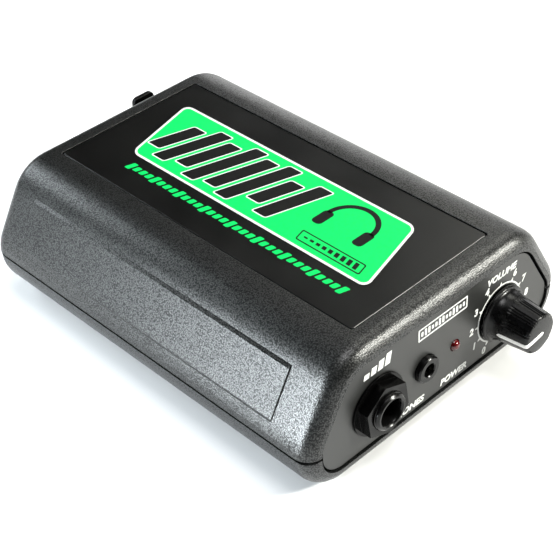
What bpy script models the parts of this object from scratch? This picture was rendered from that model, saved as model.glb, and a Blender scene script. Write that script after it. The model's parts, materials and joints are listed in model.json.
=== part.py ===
"""Desktop headphone amplifier in a small moulded case, as an assembly of its real pieces.

Two plastic half shells close over two end panels. The case's cross-section is a trapezium with
60 degree sides and large rounded corners. Every shell, panel and groove is the same outline,
pushed out or in by an offset, so one path function serves them all.

Sizes below are millimetres in case coordinates: X to the right seen from the front, Y towards the
rear with 0 at mid length, Z up with 0 at the parting seam. The empty "case_frame" carries the case
coordinates into the part's own frame, whose origin is the middle of the bounding box's underside.
"""
import math

import bmesh
import bpy
from mathutils import Matrix, Vector

MM = 0.001

# --- Case outline (the line midway in the gap between shell and end panel) -----------------------
PANEL_TOP = 18.05            # height of the outline's flat top above the seam
PANEL_BOTTOM = -7.4
PANEL_TOP_HALF = 30.0        # half width where side and top would meet unrounded
SIDE_SLOPE = math.radians(60.0)
TOP_RADIUS = 8.0
HIP_RADIUS = 5.5             # turns the slope upright at the seam
FOOT_RADIUS = 6.5
SEAM_GAP = 0.7
ARC_STEP = math.radians(9.0)

# --- Shells ----------------------------------------------------------------------------------------
CASE_HALF_LENGTH = 57.9
TOP_SKIN = 4.65              # shell surface outside the outline
BOTTOM_SKIN = 4.4
WALL = 2.4
RIM_STEPS = 5                # facets round the shells' quarter-round ends
OPENING = 0.3                # shell edge outside the outline
LIP_DEPTH = 2.7
GROOVE_WIDTH = 1.9
GROOVE_OFFSET = 2.0
RIB_WIDTH = 1.5
TONGUE_THICKNESS = 1.0
TONGUE_RISE = 1.5
TONGUE_HALF_LENGTH = 51.4
LABEL_HALF_WIDTH = 23.3
LABEL_HALF_LENGTH = 51.4
LABEL_RECESS = 0.75
LABEL_THICKNESS = 0.5
LABEL_GAP = 0.35
LABEL_CORNER = 0.8
GRIP_FRONT = -45.35          # raised pad on each sloping side
GRIP_BACK = 46.5
GRIP_RISE = 0.5
GRIP_TOP = 16.65             # height of the pad's upper edge above the seam
GRIP_WIDEST = 43.03          # half width at the pad's upright lower wall
GRIP_FOOT = 4.4              # the lower wall's foot, inside the shell's own skin
GRIP_LEDGE = (1.29, 0.68)    # run and rise of the ledge from the upper edge into the shoulder

# --- End panels ------------------------------------------------------------------------------------
PANEL_SINK = 0.5             # panel face behind the rim
PANEL_INSET = 0.3            # panel edge inside the outline
PANEL_FLANGE = 1.5           # flange edge outside the outline
FLANGE_THICKNESS = 1.3
FIT_GAP = 0.3
SEAT_GAP = 0.12              # between pieces that rest on each other in plain view
PANEL_FACE = CASE_HALF_LENGTH - PANEL_SINK
PANEL_BACK = CASE_HALF_LENGTH - LIP_DEPTH - FIT_GAP - FLANGE_THICKNESS

# --- Feet, board and case screws ---------------------------------------------------------------------
FOOT_POSITIONS = [(-27.0, -47.5), (27.0, -47.5), (-27.0, 47.5), (27.0, 47.5)]
FOOT_DISC_RADIUS = 4.5
FOOT_RISE = 1.0
FOOT_POCKET = 0.5
SCREW_POSITIONS = [(-35.0, -40.0), (35.0, -40.0), (-35.0, 40.0), (35.0, 40.0)]
SCREW_RADIUS = 1.4
SCREW_HEAD_RADIUS = 2.7
SCREW_HEAD_HEIGHT = 2.0
SCREW_TIP = 7.0
BOSS_RADIUS = 3.2
PILLAR_RADIUS = 4.2
HEAD_SEAT = -8.6
BOARD_BOTTOM = -5.4
BOARD_THICKNESS = 1.6
BOARD_TOP = BOARD_BOTTOM + BOARD_THICKNESS
BOARD_HALF_WIDTH = 37.6
BOARD_HALF_LENGTH = 50.0
PART_LIFT = 0.3              # parts stand this far off the board
CHIP_SPOTS = [(-14.0, -12.0), (6.0, -12.0)]
CAPACITOR_SPOTS = [(-30.0, 12.0), (-30.0, 0.0), (30.0, 8.0), (30.0, -4.0)]
CAPACITOR_RADIUS = 4.5
CAPACITOR_HEIGHT = 12.5

# --- Front controls ------------------------------------------------------------------------------------
CONTROL_HEIGHT = 3.7
PHONE_X = -21.7
MINI_X = -5.65
LED_X = 4.87
VOLUME_X = 21.25

# --- 6.35 mm jacks --------------------------------------------------------------------------------------
JACK_BORE = 3.35
JACK_THREAD_RADIUS = 4.76
JACK_REACH = 4.5             # ferrule in front of the panel face
JACK_DEPTH = 26.0            # housing behind the panel
JACK_HALF_WIDTH = 7.6
JACK_HALF_HEIGHT = 7.2
NUT_ACROSS_FLATS = 12.7
NUT_COLLAR_RADIUS = 8.1
NUT_COLLAR_THICKNESS = 0.45
NUT_REACH = 3.3
NUT_TURN = math.radians(38.5)

# --- 3.5 mm jack and lamp ---------------------------------------------------------------------------------
MINI_RADIUS = 3.5
MINI_BORE = 1.75
MINI_REACH = 1.5
MINI_HALF_WIDTH = 4.6
MINI_DEPTH = 12.0
LED_RADIUS = 1.5
LED_REACH = 1.1
LED_RIM_RADIUS = 1.9
LEAD_SPACING = 1.27
LEAD_HALF = 0.25

# --- Volume control ---------------------------------------------------------------------------------------
KNOB_POINTER_ANGLE = math.radians(-170.0)     # seen from the front, from +X
KNOB_START = 0.45
KNOB_REACH = 12.5
KNOB_SKIRT_RADIUS = 7.45
KNOB_WAIST_RADIUS = 5.95
KNOB_FRONT_RADIUS = 5.3
KNOB_FLUTES = 10             # grip positions round the knob; the pointer takes one of them
FLUTE_DEPTH = 0.35
POINTER_WIDTH = 1.15
POINTER_PROUD = 0.08
SHAFT_RADIUS = 3.0
BUSHING_RADIUS = 3.4

# --- Rear connectors -----------------------------------------------------------------------------------------
XLR_X = 13.75
XLR_HEIGHT = 5.3
XLR_FLANGE_HALF_WIDTH = 13.0
XLR_FLANGE_HALF_HEIGHT = 11.8
XLR_BARREL = 10.3
XLR_DEPTH = 19.0
XLR_BORE = 9.45
XLR_INSERT_RADIUS = 7.3
XLR_PIN_CIRCLE = 4.2
LATCH_HALF_WIDTH = 3.55
LATCH_REACH = 6.6            # latch tab behind the rear panel face
LATCH_TOP = 18.5             # above the seam
LATCH_SHEET = 1.3
XLR_SCREW_RADIUS = 1.2
XLR_SCREWS = [(-10.3, 9.2), (10.3, -9.2)]
LINK_X = -10.5
POWER_X = -27.5
POWER_NOSE_RADIUS = 4.3
POWER_BORE = 3.1

# --- Placing the case in the part's frame ---------------------------------------------------------------------
CASE_BOTTOM = PANEL_BOTTOM - BOTTOM_SKIN
SEAM_HEIGHT = FOOT_RISE - CASE_BOTTOM
CASE_Y = (KNOB_REACH - LATCH_REACH) / 2.0

PANEL_WIDEST = HIP_RADIUS + (
    (PANEL_TOP_HALF * math.sin(SIDE_SLOPE) + PANEL_TOP * math.cos(SIDE_SLOPE) - HIP_RADIUS)
    / math.sin(SIDE_SLOPE)
)


# ============================================================================================== materials
def material(name, colour, roughness, metallic=0.0):
    """A Principled material with one colour."""
    made = bpy.data.materials.new(name)
    made.use_nodes = True
    shader = made.node_tree.nodes["Principled BSDF"]
    shader.inputs["Base Color"].default_value = (*colour, 1.0)
    shader.inputs["Roughness"].default_value = roughness
    shader.inputs["Metallic"].default_value = metallic
    return made


def make_materials():
    """Every material by name."""
    return {
        "shell_plastic": material("shell_plastic", (0.035, 0.036, 0.035), 0.42),
        "panel_plastic": material("panel_plastic", (0.13, 0.13, 0.125), 0.55),
        "label_film": material("label_film", (0.012, 0.012, 0.011), 0.35),
        "black_plastic": material("black_plastic", (0.01, 0.01, 0.01), 0.35),
        "knob_plastic": material("knob_plastic", (0.015, 0.015, 0.015), 0.3),
        "pointer_white": material("pointer_white", (0.85, 0.85, 0.83), 0.4),
        "rubber": material("rubber", (0.02, 0.02, 0.02), 0.8),
        "steel": material("steel", (0.62, 0.62, 0.6), 0.3, 1.0),
        "contact_metal": material("contact_metal", (0.75, 0.7, 0.5), 0.3, 1.0),
        "board_green": material("board_green", (0.02, 0.16, 0.07), 0.45),
        "led_red": material("led_red", (0.25, 0.005, 0.008), 0.15),
        "capacitor_sleeve": material("capacitor_sleeve", (0.02, 0.03, 0.09), 0.35),
        "aluminium": material("aluminium", (0.7, 0.7, 0.71), 0.35, 1.0),
    }


# ============================================================================================ mesh helpers
def mesh_object(name, points, faces, paint):
    """An object from points in millimetres, with its faces turned outwards."""
    shape = bmesh.new()
    corners = [shape.verts.new(Vector(point) * MM) for point in points]
    for face in faces:
        shape.faces.new([corners[index] for index in face])
    bmesh.ops.recalc_face_normals(shape, faces=shape.faces)
    mesh = bpy.data.meshes.new(name)
    shape.to_mesh(mesh)
    shape.free()
    mesh.materials.append(paint)
    thing = bpy.data.objects.new(name, mesh)
    bpy.context.scene.collection.objects.link(thing)
    return thing


def box_points(low, high):
    """Corner points and faces of a box between two corners."""
    xs, ys, zs = zip(low, high)
    points = [(x, y, z) for x in xs for y in ys for z in zs]
    faces = [(0, 1, 3, 2), (4, 6, 7, 5), (0, 4, 5, 1), (2, 3, 7, 6), (0, 2, 6, 4), (1, 5, 7, 3)]
    return points, faces


def merge(pieces):
    """Several (points, faces) pairs as one."""
    points, faces = [], []
    for piece_points, piece_faces in pieces:
        start = len(points)
        points.extend(piece_points)
        faces.extend([tuple(start + index for index in face) for face in piece_faces])
    return points, faces


def moved(piece, offset):
    """A (points, faces) pair shifted by an offset."""
    points, faces = piece
    shifted = [tuple(p + o for p, o in zip(point, offset)) for point in points]
    return shifted, faces


def prism(outline, start, end, axis="Y"):
    """A closed outline of two coordinates pushed along an axis from start to end."""
    place = {
        "X": lambda a, b, along: (along, a, b),
        "Y": lambda a, b, along: (a, along, b),
        "Z": lambda a, b, along: (a, b, along),
    }[axis]
    count = len(outline)
    points = [place(a, b, start) for a, b in outline] + [place(a, b, end) for a, b in outline]
    faces = [tuple(range(count)), tuple(range(2 * count - 1, count - 1, -1))]
    for index in range(count):
        following = (index + 1) % count
        faces.append((index, following, count + following, count + index))
    return points, faces


def turned(profile, segments, axis="Y", facing=1.0, ripple=None):
    """A (along, radius) profile turned round an axis; ripple(angle, along) is cut from the radius.

    A profile that starts and ends at radius 0 is closed on the axis, and any other closes on itself.
    """
    points, rings = [], []
    for along, radius in profile:
        if radius == 0.0:
            rings.append([len(points)])
            points.append((0.0, facing * along, 0.0) if axis == "Y" else (0.0, 0.0, facing * along))
            continue
        ring = []
        for step in range(segments):
            angle = 2.0 * math.pi * step / segments
            reach = radius - (ripple(angle, along, radius) if ripple else 0.0)
            a, b = reach * math.cos(angle), reach * math.sin(angle)
            ring.append(len(points))
            points.append((a, facing * along, b) if axis == "Y" else (a, b, facing * along))
        rings.append(ring)
    faces = []
    on_axis = len(rings[0]) == 1
    pairs = list(zip(rings, rings[1:])) if on_axis else list(zip(rings, rings[1:] + rings[:1]))
    for one, two in pairs:
        for step in range(segments):
            following = (step + 1) % segments
            if len(one) == 1:
                faces.append((one[0], two[step], two[following]))
            elif len(two) == 1:
                faces.append((one[step], two[0], one[following]))
            else:
                faces.append((one[step], two[step], two[following], one[following]))
    return points, faces


def rod(radius, start, end, segments, axis="Y", facing=1.0):
    """A plain cylinder as a (points, faces) pair."""
    profile = [(start, 0.0), (start, radius), (end, radius), (end, 0.0)]
    return turned(profile, segments, axis, facing)


def tube(outer, inner, start, end, segments, axis="Y", facing=1.0):
    """A plain sleeve as a (points, faces) pair."""
    profile = [(start, outer), (end, outer), (end, inner), (start, inner)]
    return turned(profile, segments, axis, facing)


def rounded_rectangle(half_width, half_height, radius, steps=4):
    """A rectangle's outline with round corners."""
    outline = []
    for quarter, (sign_a, sign_b) in enumerate([(1, 1), (-1, 1), (-1, -1), (1, -1)]):
        for step in range(steps + 1):
            angle = (quarter + step / steps) * math.pi / 2.0
            outline.append((
                sign_a * (half_width - radius) + radius * math.cos(angle),
                sign_b * (half_height - radius) + radius * math.sin(angle),
            ))
    return outline


def hexagon(across_flats, turn):
    """A hexagon's outline, its first corner at the given angle."""
    reach = across_flats / math.sqrt(3.0)
    return [
        (reach * math.cos(turn + k * math.pi / 3.0), reach * math.sin(turn + k * math.pi / 3.0))
        for k in range(6)
    ]


# =================================================================================================== booleans
def tool(name, piece, frame, location=(0.0, 0.0, 0.0)):
    """A hidden solid that cuts or joins another piece."""
    points, faces = piece
    made = mesh_object("tool_" + name, points, faces, bpy.data.materials["steel"])
    made.parent = frame
    made.location = Vector(location) * MM
    made.hide_render = True
    made.display_type = "WIRE"
    return made


def shape_with(target, made, operation):
    """Cut or join target with a tool by an exact Boolean modifier."""
    modifier = target.modifiers.new(operation.lower(), "BOOLEAN")
    modifier.operation = operation
    modifier.solver = "EXACT"
    modifier.object = made


class Assembly:
    """Adds named pieces under the case frame."""

    def __init__(self, frame, paints):
        self.frame = frame
        self.paints = paints

    def add(self, name, piece, paint, location=(0.0, 0.0, 0.0), sharp=35.0):
        """A named piece, smooth where its faces meet at less than the sharp angle."""
        points, faces = piece
        made = mesh_object(name, points, faces, self.paints[paint])
        made.parent = self.frame
        made.location = Vector(location) * MM
        made.data.shade_smooth()
        made.data.set_sharp_from_angle(angle=math.radians(sharp))
        return made

    def cut(self, target, name, piece, location=(0.0, 0.0, 0.0)):
        """Take a shape away from a piece."""
        shape_with(target, tool(name, piece, self.frame, location), "DIFFERENCE")

    def join(self, target, name, piece, location=(0.0, 0.0, 0.0)):
        """Add a shape to a piece, as one body."""
        shape_with(target, tool(name, piece, self.frame, location), "UNION")


# ================================================================================================ case outline
def arc(centre, radius, start, end):
    """(x, z, normal x, normal z) along an arc, both ends included."""
    steps = max(1, round(abs(end - start) / ARC_STEP))
    samples = []
    for step in range(steps + 1):
        angle = start + (end - start) * step / steps
        across, up = math.cos(angle), math.sin(angle)
        samples.append((centre[0] + radius * across, centre[1] + radius * up, across, up))
    return samples


def mirrored(samples):
    """The same samples on the other side, in the other order."""
    return [(-x, z, -across, up) for x, z, across, up in reversed(samples)]


def top_corner_centre():
    """Centre of the round between sloping side and flat top."""
    shift = TOP_RADIUS * math.tan((math.pi / 2.0 - (math.pi / 2.0 - SIDE_SLOPE)) / 2.0)
    return PANEL_TOP_HALF - shift, PANEL_TOP - TOP_RADIUS


def upper_path():
    """The outline from the right seam over the top to the left seam."""
    slope_normal = math.pi / 2.0 - SIDE_SLOPE
    hip = arc((PANEL_WIDEST - HIP_RADIUS, SEAM_GAP / 2.0), HIP_RADIUS, 0.0, slope_normal)
    shoulder = arc(top_corner_centre(), TOP_RADIUS, slope_normal, math.pi / 2.0)
    right = hip + shoulder
    return right + mirrored(right)


def lower_path():
    """The outline from the right seam under the bottom to the left seam."""
    start = [(PANEL_WIDEST, -SEAM_GAP / 2.0, 1.0, 0.0)]
    centre = (PANEL_WIDEST - FOOT_RADIUS, PANEL_BOTTOM + FOOT_RADIUS)
    right = start + arc(centre, FOOT_RADIUS, 0.0, -math.pi / 2.0)
    return right + mirrored(right)


def full_outline(offset):
    """The closed outline of the case section, pushed out by an offset."""
    path = upper_path() + list(reversed(lower_path()))
    return [(x + offset * across, z + offset * up) for x, z, across, up in path]


def skin_height(x, offset):
    """Height of the upper outline, pushed out by an offset, above a place on the X axis."""
    centre_x, centre_z = top_corner_centre()
    reach = abs(x) - centre_x
    radius = TOP_RADIUS + offset
    if reach <= 0.0:
        return centre_z + radius
    if reach < radius * math.sin(SIDE_SLOPE):
        return centre_z + math.sqrt(radius ** 2 - reach ** 2)
    side = PANEL_TOP_HALF * math.sin(SIDE_SLOPE) + PANEL_TOP * math.cos(SIDE_SLOPE) + offset
    return (side - abs(x) * math.sin(SIDE_SLOPE)) / math.cos(SIDE_SLOPE)


def wall_profile(skin):
    """A shell wall cut along the case: (y, offset) points round its rims, grooves and ribs."""
    radius = skin - OPENING
    outer = []
    for step in range(RIM_STEPS + 1):
        angle = math.pi / 2.0 * step / RIM_STEPS
        outer.append((
            CASE_HALF_LENGTH - radius + radius * math.cos(angle),
            OPENING + radius * math.sin(angle),
        ))
    lip = CASE_HALF_LENGTH - LIP_DEPTH
    groove = lip - GROOVE_WIDTH
    rib = groove - RIB_WIDTH
    inner = [(rib, skin - WALL), (rib, OPENING), (groove, OPENING), (groove, GROOVE_OFFSET),
             (lip, GROOVE_OFFSET), (lip, OPENING)]
    rear = outer + [(-y, offset) for y, offset in reversed(outer)]
    front = [(-y, offset) for y, offset in reversed(inner)]
    return rear + front + inner


def swept_shell(path, profile):
    """The wall profile carried along the outline, capped at both seams."""
    count = len(profile)
    points = []
    for x, z, across, up in path:
        points.extend([(x + o * across, y, z + o * up) for y, o in profile])
    faces = []
    for station in range(len(path) - 1):
        for index in range(count):
            following = (index + 1) % count
            here, there = station * count, (station + 1) * count
            faces.append((here + index, here + following, there + following, there + index))
    last = (len(path) - 1) * count
    faces.append(tuple(range(count)))
    faces.append(tuple(range(last + count - 1, last - 1, -1)))
    return points, faces


# ======================================================================================================= shells
def grip_pad(side):
    """Low flat pad on one sloping side: gentle ledge at its top, upright wall at its foot."""
    across, up = math.sin(SIDE_SLOPE), math.cos(SIDE_SLOPE)
    reach = PANEL_TOP_HALF * across + PANEL_TOP * up + TOP_SKIN + GRIP_RISE
    upper_x = (reach - GRIP_TOP * up) / across
    lower_z = (reach - GRIP_WIDEST * across) / up
    run, rise = GRIP_LEDGE
    section = [
        (upper_x, GRIP_TOP),
        (upper_x - run, GRIP_TOP + rise),
        (upper_x - run - 0.5, GRIP_TOP + rise - 0.9),
        (GRIP_WIDEST - 0.9, GRIP_FOOT),
        (GRIP_WIDEST, GRIP_FOOT),
        (GRIP_WIDEST, lower_z),
    ]
    return prism([(side * x, z) for x, z in section], GRIP_FRONT, GRIP_BACK)


def screw_bosses():
    """Round bosses that grow into the upper shell's wall, one over each case screw."""
    segments = 16
    base = BOARD_TOP + FIT_GAP
    pieces = []
    for x, y in SCREW_POSITIONS:
        ring = [
            (x + BOSS_RADIUS * math.cos(2.0 * math.pi * k / segments),
             y + BOSS_RADIUS * math.sin(2.0 * math.pi * k / segments))
            for k in range(segments)
        ]
        buried = TOP_SKIN - WALL / 2.0
        points = [(a, b, base) for a, b in ring]
        points += [(a, b, skin_height(a, buried)) for a, b in ring]
        points += [(x, y, skin_height(x, buried))]
        faces = [tuple(range(segments))]
        for k in range(segments):
            n = (k + 1) % segments
            faces.append((k, n, segments + n, segments + k))
            faces.append((segments + k, segments + n, 2 * segments))
        pieces.append((points, faces))
    return merge(pieces)


def rods_at(positions, radius, low, high, segments=16):
    """Upright cylinders at several places, as one tool."""
    return merge([
        moved(rod(radius, low, high, segments, axis="Z"), (x, y, 0.0)) for x, y in positions
    ])


def make_top_shell(kit):
    """Upper casing: label recess, raised side pads and four screw bosses."""
    shell = kit.add("top_shell", swept_shell(upper_path(), wall_profile(TOP_SKIN)), "shell_plastic")
    kit.join(shell, "screw_bosses", screw_bosses())
    pilot = SCREW_RADIUS + FIT_GAP
    kit.cut(shell, "pilot_holes", rods_at(SCREW_POSITIONS, pilot, BOARD_TOP - 1.0, SCREW_TIP + 1.5))
    top = PANEL_TOP + TOP_SKIN
    recess = rounded_rectangle(LABEL_HALF_WIDTH, LABEL_HALF_LENGTH, LABEL_CORNER)
    kit.cut(shell, "label_recess", prism(recess, top - LABEL_RECESS, top + 2.0, axis="Z"))
    kit.join(shell, "left_grip", grip_pad(-1.0))
    kit.join(shell, "right_grip", grip_pad(1.0))


def seam_tongues():
    """Upright tongues inside the lower shell's edge that close the seam to light."""
    inner = PANEL_WIDEST + TOP_SKIN - WALL - FIT_GAP - TONGUE_THICKNESS
    outer = inner + TONGUE_THICKNESS
    buried = PANEL_WIDEST + BOTTOM_SKIN - WALL / 2.0
    shoulder = -SEAM_GAP / 2.0 - 0.2
    root = -3.0
    section = [(inner, root), (buried, root), (buried, shoulder), (outer, shoulder),
               (outer, TONGUE_RISE), (inner, TONGUE_RISE)]
    right = prism(section, -TONGUE_HALF_LENGTH, TONGUE_HALF_LENGTH)
    left = prism([(-x, z) for x, z in section], -TONGUE_HALF_LENGTH, TONGUE_HALF_LENGTH)
    return merge([left, right])


def make_bottom_shell(kit):
    """Lower casing: screw pillars, counterbores, seam tongues and foot pockets."""
    shell = kit.add(
        "bottom_shell", swept_shell(lower_path(), wall_profile(BOTTOM_SKIN)), "shell_plastic")
    kit.join(shell, "seam_tongues", seam_tongues())
    pillar_root = PANEL_BOTTOM - BOTTOM_SKIN + 1.9
    pillar_top = BOARD_BOTTOM - FIT_GAP
    kit.join(shell, "pillars", rods_at(SCREW_POSITIONS, PILLAR_RADIUS, pillar_root, pillar_top))
    clearance = SCREW_RADIUS + FIT_GAP
    kit.cut(shell, "screw_holes",
            rods_at(SCREW_POSITIONS, clearance, CASE_BOTTOM - 1.0, pillar_top + 1.0))
    kit.cut(shell, "counterbores",
            rods_at(SCREW_POSITIONS, SCREW_HEAD_RADIUS + FIT_GAP, CASE_BOTTOM - 1.0, HEAD_SEAT, 20))
    kit.cut(shell, "foot_pockets",
            rods_at(FOOT_POSITIONS, FOOT_DISC_RADIUS + FIT_GAP, CASE_BOTTOM - 1.0,
                    CASE_BOTTOM + FOOT_POCKET, 24))


def make_label(kit):
    """Printed plate that lies in the recess on top."""
    top = PANEL_TOP + TOP_SKIN
    outline = rounded_rectangle(
        LABEL_HALF_WIDTH - LABEL_GAP, LABEL_HALF_LENGTH - LABEL_GAP, LABEL_CORNER)
    low = top - LABEL_RECESS + SEAT_GAP
    kit.add("top_label", prism(outline, low, low + LABEL_THICKNESS, axis="Z"), "label_film")


def make_feet(kit):
    """Four rubber discs in shallow pockets underneath."""
    low = CASE_BOTTOM - FOOT_RISE
    high = CASE_BOTTOM + FOOT_POCKET - FIT_GAP
    edge = 0.4
    profile = [(low, 0.0), (low, FOOT_DISC_RADIUS - edge), (low + edge, FOOT_DISC_RADIUS),
               (high, FOOT_DISC_RADIUS), (high, 0.0)]
    for number, (x, y) in enumerate(FOOT_POSITIONS, start=1):
        kit.add(f"foot_{number}", turned(profile, 24, axis="Z"), "rubber", (x, y, 0.0))


def make_case_screws(kit):
    """Four long screws up through the pillars and the board into the bosses."""
    head_top = HEAD_SEAT - FIT_GAP
    head_low = head_top - SCREW_HEAD_HEIGHT
    profile = [(head_low, 0.0), (head_low, SCREW_HEAD_RADIUS - 0.7),
               (head_low + 0.5, SCREW_HEAD_RADIUS), (head_top, SCREW_HEAD_RADIUS),
               (head_top, SCREW_RADIUS), (SCREW_TIP - 1.2, SCREW_RADIUS), (SCREW_TIP, 0.0)]
    slot = box_points((-1.5, -0.35, head_low - 1.0), (1.5, 0.35, head_low + 0.9))
    cross = box_points((-0.35, -1.5, head_low - 1.0), (0.35, 1.5, head_low + 0.9))
    for number, (x, y) in enumerate(SCREW_POSITIONS, start=1):
        screw = kit.add(f"case_screw_{number}", turned(profile, 12, axis="Z"), "steel", (x, y, 0.0))
        kit.cut(screw, f"slot_{number}", slot, (x, y, 0.0))
        kit.cut(screw, f"cross_{number}", cross, (x, y, 0.0))


# ======================================================================================================= panels
def panel_solid(kit, name, facing):
    """End panel: a plate inside the rim with a wider flange held in the shells' grooves."""
    flange_front = PANEL_BACK + FLANGE_THICKNESS
    plate = prism(full_outline(-PANEL_INSET), facing * PANEL_BACK, facing * PANEL_FACE)
    flange = prism(full_outline(PANEL_FLANGE), facing * PANEL_BACK, facing * flange_front)
    panel = kit.add(name, plate, "panel_plastic")
    kit.join(panel, name + "_flange", flange)
    return panel


def panel_holes(holes, facing):
    """Cutters through an end panel from (x, z, radius) triples."""
    return merge([
        moved(rod(radius, PANEL_BACK - 1.0, PANEL_FACE + 1.0, 28, facing=facing), (x, 0.0, z))
        for x, z, radius in holes
    ])


def make_front_panel(kit):
    """Front panel with holes for two jacks, lamp and volume control."""
    panel = panel_solid(kit, "front_panel", -1.0)
    kit.cut(panel, "front_holes", panel_holes([
        (PHONE_X, CONTROL_HEIGHT, JACK_THREAD_RADIUS + FIT_GAP),
        (MINI_X, CONTROL_HEIGHT, MINI_RADIUS + SEAT_GAP),
        (LED_X, CONTROL_HEIGHT, LED_RADIUS + SEAT_GAP),
        (VOLUME_X, CONTROL_HEIGHT, BUSHING_RADIUS + FIT_GAP),
    ], -1.0))


def make_rear_panel(kit):
    """Rear panel with holes for the inputs and the power inlet."""
    panel = panel_solid(kit, "rear_panel", 1.0)
    kit.cut(panel, "rear_holes", panel_holes([
        (XLR_X, XLR_HEIGHT, XLR_BARREL + FIT_GAP),
        (LINK_X, CONTROL_HEIGHT, JACK_THREAD_RADIUS + FIT_GAP),
        (POWER_X, CONTROL_HEIGHT, POWER_NOSE_RADIUS + SEAT_GAP),
    ] + [(XLR_X + x, XLR_HEIGHT + z, XLR_SCREW_RADIUS + FIT_GAP) for x, z in XLR_SCREWS], 1.0))


# =================================================================================================== 6.35 mm jack
def make_phone_jack(kit, prefix, x, facing):
    """A panel jack: housing with threaded ferrule, collared nut and two contact springs."""
    face = facing * PANEL_FACE
    body_front = -(PANEL_FACE - PANEL_BACK) - FIT_GAP     # distances out from the panel face
    body_back = body_front - JACK_DEPTH
    bottom = -CONTROL_HEIGHT + BOARD_TOP + PART_LIFT
    lows = sorted((facing * body_back, facing * body_front))
    housing = box_points((-JACK_HALF_WIDTH, lows[0], bottom),
                         (JACK_HALF_WIDTH, lows[1], JACK_HALF_HEIGHT))
    location = (x, face, CONTROL_HEIGHT)
    body = kit.add(prefix + "_body", housing, "black_plastic", location)
    chamfer = 0.5
    ferrule = turned([(body_front - 2.0, 0.0), (body_front - 2.0, JACK_THREAD_RADIUS),
                      (JACK_REACH - chamfer, JACK_THREAD_RADIUS),
                      (JACK_REACH, JACK_THREAD_RADIUS - chamfer), (JACK_REACH, 0.0)],
                     32, facing=facing)
    kit.join(body, prefix + "_ferrule", ferrule, location)
    flare = 0.5
    bore = turned([(body_back + 1.5, 0.0), (body_back + 1.5, JACK_BORE),
                   (JACK_REACH - flare, JACK_BORE), (JACK_REACH, JACK_BORE + flare),
                   (JACK_REACH + 1.0, JACK_BORE + flare + 1.0), (JACK_REACH + 1.0, 0.0)],
                  28, facing=facing)
    kit.cut(body, prefix + "_bore", bore, location)
    pocket_low, pocket_high = body_back + 3.0, body_front - 3.0
    for side in (-1.0, 1.0):
        lows = sorted((facing * pocket_low, facing * pocket_high))
        pocket = box_points((-1.8, lows[0], -1.6), (1.8, lows[1], 1.6))
        pocket = moved(pocket, (side * 4.2, 0.0, 0.0))
        kit.cut(body, f"{prefix}_pocket_{'left' if side < 0 else 'right'}", pocket, location)
    make_jack_nut(kit, prefix + "_nut", facing, location)
    for name, side, reach in (("tip", -1.0, pocket_low + 1.0), ("ring", 1.0, pocket_low + 7.0)):
        spring = [(3.6, 0.0), (5.2, -3.0), (5.2, -11.0), (4.9, -11.0), (4.9, -3.1), (3.3, 0.0)]
        outline = [(side * a, facing * (reach - b)) for a, b in spring]
        kit.add(f"{prefix}_{name}_spring", prism(outline, -1.0, 1.0, axis="Z"),
                "contact_metal", location)


def make_jack_nut(kit, name, facing, location):
    """Hexagon nut with a round collar, chamfered corners and a clearance bore."""
    start = SEAT_GAP
    shoulder = start + NUT_COLLAR_THICKNESS
    bore = JACK_THREAD_RADIUS + 0.15
    collar = tube(NUT_COLLAR_RADIUS, bore, start, shoulder, 36, facing=facing)
    nut = kit.add(name, collar, "black_plastic", location, sharp=25.0)
    outline = hexagon(NUT_ACROSS_FLATS, NUT_TURN)
    body = prism(outline, facing * (shoulder - 0.2), facing * NUT_REACH)
    corner = NUT_ACROSS_FLATS / math.sqrt(3.0)
    kit.join(nut, name + "_hexagon", body, location)
    kit.cut(nut, name + "_hole", rod(bore, start - 1.0, NUT_REACH + 1.0, 36, facing=facing), location)
    chamfer = 0.55
    corners = turned([
        (NUT_REACH + 0.5, corner - chamfer), (NUT_REACH + 0.5, corner + 2.0),
        (NUT_REACH - chamfer * 0.6, corner + 2.0), (NUT_REACH - chamfer * 0.6, corner + 0.1),
    ], 36, facing=facing)
    kit.cut(nut, name + "_chamfer", corners, location)


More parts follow.
